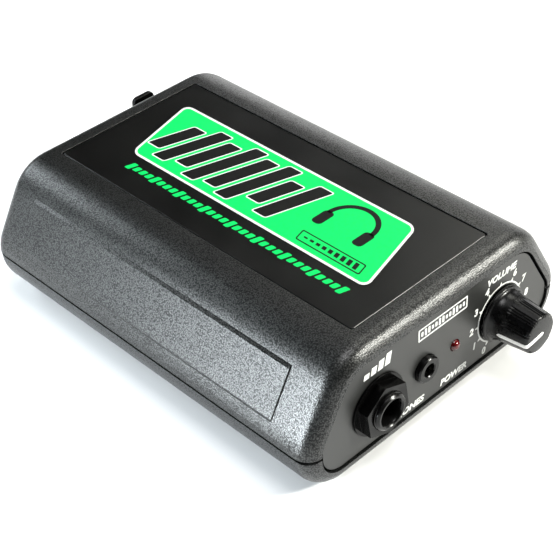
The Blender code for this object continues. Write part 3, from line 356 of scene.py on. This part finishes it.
# ===================================================================================== mesh helpers
def piece_from(name, shape, paint, body, slot=None, stands_for=()):
    """A finished piece from a bmesh in frame metres, riding on a CAD body."""
    bmesh.ops.recalc_face_normals(shape, faces=shape.faces)
    mesh = bpy.data.meshes.new(name)
    shape.to_mesh(mesh)
    shape.free()
    mesh.materials.append(paint)
    made = bpy.data.objects.new(name, mesh)
    bpy.context.scene.collection.objects.link(made)
    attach(made, body)
    if stands_for:
        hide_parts(*stands_for)
    return made


def soften(made, width, angle=EDGE_ANGLE):
    """Rounds a piece's sharp edges and evens out its shading."""
    bevel = made.modifiers.new("edges", "BEVEL")
    bevel.width = width * MM
    bevel.segments = 2
    bevel.limit_method = "ANGLE"
    bevel.angle_limit = math.radians(angle)
    bevel.use_clamp_overlap = True
    bevel.miter_outer = "MITER_ARC"
    even = made.modifiers.new("even_normals", "WEIGHTED_NORMAL")
    even.keep_sharp = True
    even.weight = 60


def refined(node, paint, width, body="case", angle=EDGE_ANGLE, trim=None):
    """A CAD node's own shape with clean faces, soft edges and smooth rounds."""
    shape = bmesh.new()
    shape.from_mesh(nodes[node].data)
    if trim:
        trim(shape)
    same_place, flat = 0.001, 0.5
    bmesh.ops.remove_doubles(shape, verts=shape.verts, dist=same_place * MM)
    bmesh.ops.dissolve_limit(shape, angle_limit=math.radians(flat), verts=shape.verts,
                             edges=shape.edges)
    for face in shape.faces:
        face.smooth = True
    made = piece_from(node + "_finish", shape, paint, body, slot_of[node], (node,))
    made.data.set_sharp_from_angle(angle=math.radians(angle))
    if width:
        soften(made, width, angle)
    return made


def ring_of(shape, points):
    """New vertices at points."""
    return [shape.verts.new(point) for point in points]


def bridge(shape, one, two):
    """Quads between two closed rings of the same length."""
    count = len(one)
    for k in range(count):
        n = (k + 1) % count
        shape.faces.new((one[k], one[n], two[n], two[k]))


def lathe(profile, segments, place, ripple=None):
    """A turned solid from (along, radius) points: a closed ring, or one that ends on the axis."""
    shape = bmesh.new()
    rings = []
    for along, radius in profile:
        if radius == 0.0:
            rings.append([shape.verts.new(place(0.0, 0.0, along))])
            continue
        points = []
        for k in range(segments):
            angle = 2.0 * math.pi * k / segments
            reach = radius - (ripple(angle, along, radius) if ripple else 0.0)
            points.append(place(reach * math.cos(angle), reach * math.sin(angle), along))
        rings.append(ring_of(shape, points))
    closed = len(rings[0]) > 1
    for one, two in zip(rings, rings[1:] + rings[:1] if closed else rings[1:]):
        if len(one) == 1:
            for k in range(segments):
                shape.faces.new((one[0], two[(k + 1) % segments], two[k]))
        elif len(two) == 1:
            for k in range(segments):
                shape.faces.new((one[k], one[(k + 1) % segments], two[0]))
        else:
            bridge(shape, one, two)
    for face in shape.faces:
        face.smooth = True
    return shape


def facing_front(centre):
    """Places (across, up, out) round a centre in the front panel's face."""
    def place(across, up, out):
        return Vector((centre.x + across * MM, (FRONT - out) * MM, centre.z + up * MM))
    return place


# ==================================================================================== shapes in 2-D
def rounded(half_a, half_b, radius, steps=6):
    """Outline of a rectangle with round corners."""
    outline = []
    for quarter, (a, b) in enumerate([(1, 1), (-1, 1), (-1, -1), (1, -1)]):
        for step in range(steps + 1):
            angle = (quarter + step / steps) * math.pi / 2.0
            outline.append((a * (half_a - radius) + radius * math.cos(angle),
                            b * (half_b - radius) + radius * math.sin(angle)))
    return outline


def shifted(outline, a, b):
    """An outline moved in its plane."""
    return [(x + a, y + b) for x, y in outline]


def arc_band(centre, inner, outer, start, end, steps=48):
    """A curved band between two radii, angles in degrees."""
    angles = [math.radians(start + (end - start) * k / steps) for k in range(steps + 1)]
    out = [(centre[0] + outer * math.cos(a), centre[1] + outer * math.sin(a)) for a in angles]
    back = [(centre[0] + inner * math.cos(a), centre[1] + inner * math.sin(a)) for a in angles]
    return out + back[::-1]


class Print:
    """Ink laid on a flat face: outlines in millimetres become very thin raised pieces."""

    def __init__(self, origin, across, up, out, lean=0.0, pivot=0.0):
        self.origin, self.across = Vector(origin), Vector(across)
        self.up, self.out = Vector(up), Vector(out)
        self.lean, self.pivot = lean, pivot

    def at(self, a, b, lift):
        """A point at a along and b up the print, lifted off its face."""
        a += self.lean * (b - self.pivot)
        return self.origin + (self.across * a + self.up * b + self.out * lift) * MM

    def lay(self, name, outlines, paint, slot, low=-0.01, high=0.03):
        """Flat outlines, each pushed up into a closed film."""
        shape = bmesh.new()
        for outline in outlines:
            bottom = ring_of(shape, [self.at(a, b, low) for a, b in outline])
            top = ring_of(shape, [self.at(a, b, high) for a, b in outline])
            shape.faces.new(bottom)
            shape.faces.new(top[::-1])
            bridge(shape, bottom, top)
        return piece_from(name, shape, paint, "case", slot)

    def frames(self, name, pairs, paint, slot, low=-0.01, high=0.03):
        """Closed frames between an outer and an inner outline."""
        shape = bmesh.new()
        for outer, inner in pairs:
            walls = ((outer, low), (outer, high), (inner, high), (inner, low))
            rings = [ring_of(shape, [self.at(a, b, lift) for a, b in outline])
                     for outline, lift in walls]
            for one, two in zip(rings, rings[1:] + rings[:1]):
                bridge(shape, one, two)
        return piece_from(name, shape, paint, "case", slot)

    def letters(self, name, text, centre, height, width, paint, slot, slant=0.0, bold=0.0,
                low=-0.01, high=0.03):
        """Plain lettering scaled to a given height and width."""
        curve = bpy.data.curves.new(name + "_curve", "FONT")
        curve.body = text
        curve.size = 1.0
        curve.shear = slant
        curve.offset = bold
        curve.resolution_u = 3
        curve.extrude = 0.5
        writer = bpy.data.objects.new(name + "_writer", curve)
        bpy.context.scene.collection.objects.link(writer)
        bpy.context.view_layer.update()
        mesh = bpy.data.meshes.new_from_object(
            writer.evaluated_get(bpy.context.evaluated_depsgraph_get()))
        bpy.data.objects.remove(writer, do_unlink=True)
        xs = [v.co.x for v in mesh.vertices]
        ys = [v.co.y for v in mesh.vertices]
        tall = height / (max(ys) - min(ys))
        wide = width / (max(xs) - min(xs)) if width else tall
        x0, y0 = (max(xs) + min(xs)) / 2.0, (max(ys) + min(ys)) / 2.0
        for v in mesh.vertices:
            lift = high if v.co.z > 0.0 else low
            v.co = self.at(centre[0] + (v.co.x - x0) * wide, centre[1] + (v.co.y - y0) * tall,
                           lift)
        shape = bmesh.new()
        shape.from_mesh(mesh)
        bmesh.ops.remove_doubles(shape, verts=shape.verts, dist=0.0005 * MM)
        bpy.data.meshes.remove(mesh)
        return piece_from(name, shape, paint, "case", slot)


# ============================================================================== carried-over pieces
REFINED = [
    ("top_shell", CASE, 0.22, "case"),
    ("bottom_shell", CASE, 0.1, "case"),
    ("front_panel", PANEL, 0.12, "case"),
    ("rear_panel", PANEL, 0.12, "case"),
    ("top_label", FILM, 0.22, "case"),
    ("phone_jack_nut", NUT, 0.14, "case"),
    ("link_jack_nut", NUT, 0.14, "case"),
    ("link_jack_body", SOCKET, 0.12, "case"),
    ("mini_jack_body", SOCKET, 0.1, "case"),
    ("power_inlet_body", SOCKET, 0.12, "case"),
    ("xlr_shell", SOCKET, 0.2, "case"),
    ("xlr_insert", SOCKET, 0.1, "case"),
    ("xlr_latch", LATCH, 0.25, "latch"),
    ("power_led", LENS, 0.0, "case"),
    ("volume_pot_body", STEEL, 0.1, "case"),
    ("volume_pot_nut", STEEL, 0.1, "case"),
    ("volume_pot_washer", STEEL, 0.05, "case"),
    ("volume_pot_shaft", STEEL, 0.0, "knob"),
    ("mini_jack_sleeve", CONTACT, 0.05, "case"),
    ("mini_jack_tip_spring", CONTACT, 0.03, "case"),
    ("power_inlet_pin", CONTACT, 0.0, "case"),
    ("main_board", BOARD, 0.08, "case"),
    ("voltage_regulator", SOCKET, 0.15, "case"),
    ("heat_sink", HEAT_SINK, 0.1, "case"),
]
REFINED += [(f"foot_{k}", RUBBER, 0.12, "case") for k in range(1, 5)]
REFINED += [(f"case_screw_{k}", STEEL, 0.06, "case") for k in range(1, 5)]
REFINED += [(f"xlr_screw_{k}", STEEL, 0.05, "case") for k in range(1, 3)]
REFINED += [(f"xlr_contact_{k}", CONTACT, 0.04, "case") for k in range(1, 4)]
REFINED += [(f"amplifier_chip_{k}", SOCKET, 0.08, "case") for k in range(1, 3)]
REFINED += [(f"capacitor_{k}", SLEEVE, 0.0, "case") for k in range(1, 5)]
REFINED += [(f"led_{side}_lead", STEEL, 0.04, "case") for side in ("anode", "cathode")]
REFINED += [(f"{jack}_jack_{end}_spring", CONTACT, 0.03, "case")
            for jack in ("phone", "link") for end in ("tip", "ring")]

slot_of = {row["node"]: row["material_slot"] for row in frame["record"]["subparts"]}


def lower_rim(shape):
    """Sets the lower shell's rim a little deeper, so that the seam reads as a dark line."""
    drop, wall, near_enough = 0.25, 2.6, 0.02
    rim_height = (SEAM - SEAM_GAP / 2.0) * MM
    half_width = abs(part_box("bottom_shell")[0].x)
    for vert in shape.verts:
        on_rim = abs(vert.co.z - rim_height) < near_enough * MM
        if on_rim and abs(vert.co.x) > half_width - wall * MM:
            vert.co.z -= drop * MM


def carry_over():
    """Every CAD piece whose shape is already right, with soft edges and its own finish."""
    for node, paint, width, body in REFINED:
        angle = LEDGE_ANGLE if node == "top_shell" else EDGE_ANGLE
        trim = lower_rim if node == "bottom_shell" else None
        refined(node, paint, width, body, angle, trim)


# ====================================================================================== volume knob
POINTER_ANGLE = math.radians(-170.0)
KNOB_PLACES = 10           # groups of grooves round the grip; one place is the pointer's
BARREL_START = 5.0         # where the cone ends and the fluted barrel begins, from the panel
WAIST_RADIUS = 5.95
FRONT_RADIUS = 5.3
FRONT_EDGE = 0.75          # radius of the rounded front edge
FACE_DISH = 0.3            # how far the front face's rim stands behind the knob's CAD front


def knob_groove(angle, reach, radius):
    """Depth of the grip's fine grooves: three side by side in each place but the pointer's."""
    grip_start, grip_radius, run_length, deepest = 4.9, 4.7, 0.8, 0.3
    groove_angles, half_groove = (-7.0, 0.0, 7.0), 2.7
    if reach < grip_start or radius < grip_radius:
        return 0.0
    pitch = 2.0 * math.pi / KNOB_PLACES
    places = (angle - POINTER_ANGLE) / pitch
    nearest = round(places)
    if nearest % KNOB_PLACES == 0:
        return 0.0
    off = math.degrees((places - nearest) * pitch)
    depth = 0.0
    for groove in groove_angles:
        share = abs(off - groove) / half_groove
        if share < 1.0:
            depth = max(depth, math.sqrt(1.0 - share ** 2))
    run_in = min(1.0, max(0.0, (reach - grip_start) / run_length))
    return deepest * depth * math.sqrt(run_in)


def make_knob():
    """The knob: thin skirt, concave cone, fluted barrel, rounded front edge and a hollow back."""
    low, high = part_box("volume_knob")
    centre = middle("volume_pot_shaft")
    reach = (FRONT * MM - low.y) / MM
    skirt = (high.x - low.x) / 2.0 / MM
    back = (FRONT * MM - high.y) / MM
    waist, front, edge = WAIST_RADIUS, FRONT_RADIUS, FRONT_EDGE
    wall, hollow, bore, bore_back = 2.6, 5.3, 3.15, 3.9
    profile = [(reach - wall, 0.0), (reach - wall, bore), (bore_back, bore), (bore_back, hollow),
               (back, hollow), (back, skirt - 0.35), (back + 0.1, skirt - 0.12),
               (back + 0.3, skirt), (1.1, skirt), (1.3, skirt - 0.06), (1.45, skirt - 0.22)]
    cone_steps, barrel_steps, edge_steps = 16, 8, 6
    cone_start, cone_radius = profile[-1]
    for k in range(1, cone_steps + 1):
        turn = math.pi / 2.0 * k / cone_steps
        profile.append((BARREL_START - (BARREL_START - cone_start) * math.cos(turn),
                        waist + (cone_radius - waist) * (1.0 - math.sin(turn))))
    shoulder = reach - FACE_DISH - edge
    for k in range(1, barrel_steps + 1):
        share = k / barrel_steps
        profile.append((BARREL_START + (shoulder - BARREL_START) * share,
                        waist + (front - waist) * share))
    for k in range(1, edge_steps + 1):
        angle = math.pi / 2.0 * k / edge_steps
        profile.append((shoulder + edge * math.sin(angle), front - edge + edge * math.cos(angle)))
    profile += [(reach - 0.2, 3.2), (reach - 0.12, 1.6), (reach - 0.1, 0.0)]
    shape = lathe(profile, 360, facing_front(centre), knob_groove)
    made = piece_from("volume_knob_finish", shape, KNOB, "knob", slot_of["volume_knob"],
                      ("volume_knob",))
    made.data.set_sharp_from_angle(angle=math.radians(50.0))
    make_pointer(centre, reach, shoulder)


def make_pointer(centre, reach, shoulder):
    """White inlaid line with round ends, up the knob's side and over its front."""
    waist, front, edge = WAIST_RADIUS, FRONT_RADIUS, FRONT_EDGE
    half_width, start, end = 0.58, 4.0, -0.9
    crown, crown_power = 0.2, 0.8
    side_steps, edge_steps, face_steps = 14, 6, 14
    path = []
    for k in range(side_steps + 1):
        along = start + (shoulder - start) * k / side_steps
        narrowing = (along - BARREL_START) / (shoulder - BARREL_START)
        path.append((along, waist + (front - waist) * narrowing, 0.0))
    for k in range(1, edge_steps + 1):
        angle = math.pi / 2.0 * k / edge_steps
        path.append((shoulder + edge * math.sin(angle), front - edge + edge * math.cos(angle),
                     angle))
    for k in range(1, face_steps + 1):
        radius = front - edge + (end - front + edge) * k / face_steps
        inward = 1.0 - max(0.0, radius) / (front - edge)
        path.append((reach - FACE_DISH + crown * inward ** crown_power, radius, math.pi / 2.0))
    lengths = [0.0]
    for one, two in zip(path, path[1:]):
        lengths.append(lengths[-1] + math.hypot(one[0] - two[0], one[1] - two[1]))
    total = lengths[-1]
    place = facing_front(centre)
    section = ((-1, 0.03), (-0.7, 0.07), (0.7, 0.07), (1, 0.03), (1, -0.25), (-1, -0.25))
    turn_x, turn_z = math.cos(POINTER_ANGLE), math.sin(POINTER_ANGLE)
    shape = bmesh.new()
    rings = []
    for (along, radius, lean), gone in zip(path, lengths):
        from_end = min(gone, total - gone)
        wide = half_width
        if from_end < half_width:
            wide = math.sqrt(max(0.0004, half_width ** 2 - (half_width - from_end) ** 2))
        normal_out, normal_along = math.cos(lean), math.sin(lean)
        ring = []
        for side, lift in section:
            r = radius + normal_out * lift
            a = along + normal_along * lift
            cross = side * wide
            ring.append(place(r * turn_x - cross * turn_z, r * turn_z + cross * turn_x, a))
        rings.append(ring_of(shape, ring))
    for one, two in zip(rings, rings[1:]):
        bridge(shape, one, two)
    shape.faces.new(rings[0])
    shape.faces.new(rings[-1][::-1])
    for face in shape.faces:
        face.smooth = True
    made = piece_from("knob_pointer_finish", shape, POINTER, "knob", slot_of["knob_pointer"],
                      ("knob_pointer",))
    made.data.set_sharp_from_angle(angle=math.radians(50.0))


# ======================================================================================= phone jack
def make_phone_jack():
    """Front jack: the housing behind the panel, and its ferrule with a real thread form."""
    low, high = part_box("phone_jack_body")
    centre = middle("phone_jack_nut")
    reach = (FRONT * MM - low.y) / MM
    body = refined("phone_jack_body", SOCKET, 0.0)
    cutter_shape = bmesh.new()
    cutter_size, housing_front = 0.04, 3.5
    bmesh.ops.create_cube(cutter_shape, size=cutter_size)
    cutter_mesh = bpy.data.meshes.new("ferrule_room")
    cutter_shape.to_mesh(cutter_mesh)
    cutter_shape.free()
    cutter = bpy.data.objects.new("ferrule_room", cutter_mesh)
    bpy.context.scene.collection.objects.link(cutter)
    cutter.location = (centre.x, (FRONT + housing_front) * MM - cutter_size / 2.0, centre.z)
    cutter.hide_render = True
    cutter.display_type = "WIRE"
    cut = body.modifiers.new("ferrule_room", "BOOLEAN")
    cut.operation = "DIFFERENCE"
    cut.solver = "EXACT"
    cut.object = cutter
    soften(body, 0.1)
    outer, bore, back, last_thread, pitch, thread_depth = 4.76, 3.35, -3.4, -2.2, 0.7, 0.28
    profile = [(back, bore), (reach - 0.55, bore), (reach - 0.3, bore + 0.12),
               (reach, bore + 0.42), (reach, outer - 0.55), (reach - 0.12, outer - 0.42),
               (reach - 0.4, outer - 0.1)]
    along = reach - 0.55
    while along > last_thread:
        profile += [(along, outer), (along - 0.1, outer), (along - 0.32, outer - thread_depth),
                    (along - 0.4, outer - thread_depth), (along - 0.6, outer)]
        along -= pitch
    profile += [(back, outer - 0.1)]
    shape = lathe(profile, 72, facing_front(centre))
    made = piece_from("phone_jack_ferrule", shape, SOCKET, "case", slot_of["phone_jack_body"])
    made.data.set_sharp_from_angle(angle=math.radians(40.0))


# ================================================================================== panel lettering
def headphone_sign(centre, size):
    """Plain sign of a pair of headphones as outlines: a band and two cups."""
    a, b = centre
    band = arc_band((a, b), size * 0.82, size, 0.0, 180.0, 28)
    cups = [shifted(rounded(size * 0.2, size * 0.38, size * 0.14, 3), a + side * size * 0.86,
                    b - size * 0.3) for side in (-1.0, 1.0)]
    return [band] + cups


def print_front():
    """White signs and words on the front panel, and the dial round the knob."""
    face = Print((0.0, FRONT * MM, SEAM * MM), (1, 0, 0), (0, 0, 1), (0, -1, 0))
    white = "pointer_white"
    knob = middle("volume_pot_shaft")
    x, z = knob.x / MM, knob.z / MM - SEAM
    zero_mark, step, hidden_mark = -120.0, 30.0, 5
    arc_inner, arc_outer, number_radius, arc_height, tick_height = 7.7, 8.15, 10.35, 0.03, 0.027
    corners = ((8.0, -0.42), (8.0, 0.42), (8.95, 0.12), (8.95, -0.12))
    face.lay("dial_arc", [arc_band((x, z), arc_inner, arc_outer, -60.0, 240.0, 90)], INK_WHITE,
             white, high=arc_height)
    for mark in range(11):
        angle = math.radians(zero_mark - step * mark)
        across, up = math.cos(angle), math.sin(angle)
        tick = [(x + radius * across - side * up, z + radius * up + side * across)
                for radius, side in corners]
        face.lay(f"dial_tick_{mark + 1}", [tick], INK_WHITE, white, high=tick_height)
    for mark in range(11):
        if mark == hidden_mark:
            continue
        angle = math.radians(zero_mark - step * mark)
        spot = (x + number_radius * math.cos(angle), z + number_radius * math.sin(angle))
        face.letters(f"dial_number_{mark}", str(mark), spot, 2.1, None, INK_WHITE, white,
                     slant=0.12, bold=0.04)
    words = (("word_volume", "VOLUME", (21.5, 15.05), 2.0, 10.8),
             ("word_power", "POWER", (4.85, -5.2), 1.95, 9.6),
             ("word_phones", "PHONES", (-11.3, -5.35), 1.9, 11.4))
    for name, text, centre, height, width in words:
        face.letters(name, text, centre, height, width, INK_WHITE, white, slant=0.2, bold=0.04)
    bars = []
    first, spacing, foot, wide, lean = -26.2, 2.25, 13.3, 1.7, 0.2
    for k in range(4):
        left = first + spacing * k
        tall = 1.5 + 0.6 * k
        bars.append([(left, foot), (left + wide, foot), (left + wide + lean * tall, foot + tall),
                     (left + lean * tall, foot + tall)])
    face.lay("level_sign", bars, INK_WHITE, white)
    sign_x, sign_z = 0.25, 14.6
    outer = shifted(rounded(8.5, 1.75, 0.25, 2), sign_x, sign_z)
    inner = shifted(rounded(8.1, 1.35, 0.1, 2), sign_x, sign_z)
    face.frames("sign_frame", [(outer, inner)], INK_WHITE, white)
    wave, pitch = [], 1.2
    for k in range(13):
        tall = 0.35 + 0.65 * abs(math.sin(math.pi * k / 4.0 + 0.5))
        wave.append(shifted(rounded(0.36, tall, 0.2, 2), sign_x + (k - 6) * pitch, sign_z))
    face.lay("wave_sign", wave, INK_WHITE, white)


def print_label():
    """Printed badge on the top plate: level bars, a headphone sign and a row of scale dashes."""
    axes = ((0.0, MID_Y * MM, LABEL_TOP * MM), (0, -1, 0), (1, 0, 0), (0, 0, 1))
    white, film = "pointer_white", "label_film"
    field_height, rim_height, sign_height = 0.03, 0.055, 0.06
    mid_a, mid_b = -0.4, 1.8
    back_slant = Print(*axes, lean=-0.26, pivot=mid_b)
    front_slant = Print(*axes, lean=0.3, pivot=mid_b)
    upright = Print(*axes)
    half_a, half_b, corner = 41.0, 12.4, 2.6
    border = 0.7
    outer = shifted(rounded(half_a, half_b, corner, 8), mid_a, mid_b)
    inner = shifted(rounded(half_a - border, half_b - border, corner - border, 8), mid_a, mid_b)
    back_slant.frames("badge_border", [(outer, inner)], INK_WHITE, white, high=0.05)
    back_slant.lay("badge_field", [inner], INK_GREEN, film, high=field_height)
    bars, rims = [], []
    half_bar, rim, first_bar, bar_pitch = 2.2, 0.35, 34.0, 6.1
    heights = (6.4, 9.4, 7.4, 10.2, 8.6, 10.2, 6.0, 9.0)
    for k, tall in enumerate(heights):
        a = mid_a - first_bar + bar_pitch * k
        bar = shifted(rounded(half_bar, tall, 0.5, 3), a, mid_b)
        bars.append(bar)
        rims.append((shifted(rounded(half_bar + rim, tall + rim, 0.8, 3), a, mid_b), bar))
    front_slant.lay("badge_bars", bars, INK_BLACK, film, high=sign_height)
    front_slant.frames("badge_bar_rims", rims, INK_WHITE, white, high=rim_height)
    sign_a, scale_b = mid_a + 25.5, mid_b - 8.2
    headphones = headphone_sign((sign_a - 0.5, mid_b + 2.6), 7.6)
    upright.lay("badge_headphones", headphones, INK_BLACK, film, high=sign_height)
    outline = shifted(rounded(10.2, 1.9, 0.5, 3), sign_a + 1.5, scale_b)
    hollow = shifted(rounded(9.85, 1.55, 0.3, 3), sign_a + 1.5, scale_b)
    back_slant.frames("badge_scale_frame", [(outline, hollow)], INK_BLACK, film, high=rim_height)
    steps = [shifted(rounded(0.6, 0.25 + 0.11 * k, 0.12, 2), sign_a - 6.5 + 2.0 * k, scale_b)
             for k in range(9)]
    back_slant.lay("badge_scale_steps", steps, INK_BLACK, film, high=rim_height)
    dashes, row_b, first_dash, dash_pitch = [], -14.7, -33.2, 2.3
    for k in range(33):
        tall = 1.45 if k % 4 == 0 else 0.95
        dashes.append(shifted(rounded(0.8, tall, 0.3, 2), first_dash + dash_pitch * k, row_b))
    row = Print(*axes, lean=0.3, pivot=row_b)
    row.lay("badge_dashes", dashes, INK_GREEN, film, high=0.04)


# =========================================================================================== studio
def area_light(name, where, target, size, power, colour):
    """Soft box facing a target; sizes and places in metres, power in watts."""
    light = bpy.data.lights.new(name, "AREA")
    light.shape = "RECTANGLE"
    light.size, light.size_y = size
    light.energy = power
    light.color = colour
    made = bpy.data.objects.new(name, light)
    bpy.context.scene.collection.objects.link(made)
    made.location = where
    made.rotation_euler = (Vector(target) - Vector(where)).to_track_quat("-Z", "Y").to_euler()


def around(azimuth, elevation, reach=0.75):
    """A place on a sphere round the case, angles in degrees from the right and from level."""
    mid_height = 0.02
    a, e = math.radians(azimuth), math.radians(elevation)
    level = reach * math.cos(e)
    return (level * math.cos(a), level * math.sin(a), mid_height + reach * math.sin(e))


def make_studio():
    """White round table, pale backdrop and soft boxes that each light one side of the case."""
    shape = bmesh.new()
    bmesh.ops.create_circle(shape, cap_ends=True, segments=96, radius=0.6)
    mesh = bpy.data.meshes.new("table_top")
    shape.to_mesh(mesh)
    shape.free()
    table = Finish("table_white", (0.93, 0.93, 0.94), 0.6, specular=0.2)
    mesh.materials.append(table.made)
    floor = bpy.data.objects.new("table_top", mesh)
    bpy.context.scene.collection.objects.link(floor)
    world = bpy.data.worlds.new("surroundings")
    world.use_nodes = True
    lights_little, looks_pale = 0.01, 1.3
    backdrop = world.node_tree.nodes["Background"]
    backdrop.inputs["Color"].default_value = (0.97, 0.98, 1.0, 1.0)
    seen = world.node_tree.nodes.new("ShaderNodeLightPath").outputs["Is Camera Ray"]
    glow = world.node_tree.nodes.new("ShaderNodeMapRange")
    glow.inputs["To Min"].default_value = lights_little
    glow.inputs["To Max"].default_value = looks_pale
    world.node_tree.links.new(seen, glow.inputs["Value"])
    world.node_tree.links.new(glow.outputs["Result"], backdrop.inputs["Strength"])
    bpy.context.scene.world = world
    cool, warm, plain = (0.88, 0.96, 1.0), (1.0, 1.0, 0.92), (1.0, 1.0, 1.0)
    centre, near, back = (0.0, 0.0, 0.03), (-0.04, -0.04, 0.03), (-0.03, 0.04, 0.03)
    low, square, small, large = (0.3, 0.2), (0.25, 0.25), (0.1, 0.1), (0.5, 0.5)
    boxes = (("left_upper_box", (-0.345, 0.105, 0.12), near, (0.08, 0.09), 1.35, cool),
             ("left_low_strip", (-0.345, 0.04, 0.02), near, (0.1, 0.035), 1.7, cool),
             ("left_high_box", around(150, 30), centre, square, 0.3, cool),
             ("left_rear_box", around(138, 10), centre, low, 0.48, cool),
             ("rear_box", (-0.1, 0.33, 0.2), back, small, 0.63, cool),
             ("front_box", around(-52, 26), centre, small, 9.2, warm),
             ("right_high_box", around(-5, 50), centre, square, 1.0, warm),
             ("right_box", around(20, 40), centre, square, 0.7, warm),
             ("right_low_box", around(10, 10), centre, low, 0.5, plain),
             ("right_rear_box", around(40, 10), centre, low, 0.62, plain),
             ("top_box", (0.2, 0.3, 1.0), centre, large, 1.25, plain),
             ("table_box", (0.0, -0.35, 1.35), centre, large, 8.5, plain))
    for box in boxes:
        area_light(*box)


def make_camera():
    """Long lens from the front left, above the case."""
    azimuth, elevation, roll = (math.radians(v) for v in (-42.497, 38.697, -3.178))
    focal_length, sensor = 90.04, 36.0
    stand = (-187.08, -207.36, 219.13)
    level = math.cos(elevation)
    back = Vector((math.sin(azimuth) * level, -math.cos(azimuth) * level, math.sin(elevation)))
    right = Vector((math.cos(azimuth), math.sin(azimuth), 0.0))
    up = back.cross(right)
    side = math.cos(roll) * right + math.sin(roll) * up
    head = -math.sin(roll) * right + math.cos(roll) * up
    turn = Matrix((side, head, back)).transposed().to_4x4()
    lens = bpy.data.cameras.new("camera")
    lens.sensor_width = sensor
    lens.lens = focal_length
    lens.clip_start, lens.clip_end = 0.01, 20.0
    camera = bpy.data.objects.new("camera", lens)
    bpy.context.scene.collection.objects.link(camera)
    place = (Vector(stand) + Vector((0.0, MID_Y, SEAM))) * MM
    camera.matrix_world = Matrix.Translation(place) @ turn
    bpy.context.scene.camera = camera


carry_over()
make_knob()
make_phone_jack()
print_front()
print_label()
make_studio()
make_camera()
bpy.context.scene.view_settings.view_transform = "Standard"
bpy.context.view_layer.update()
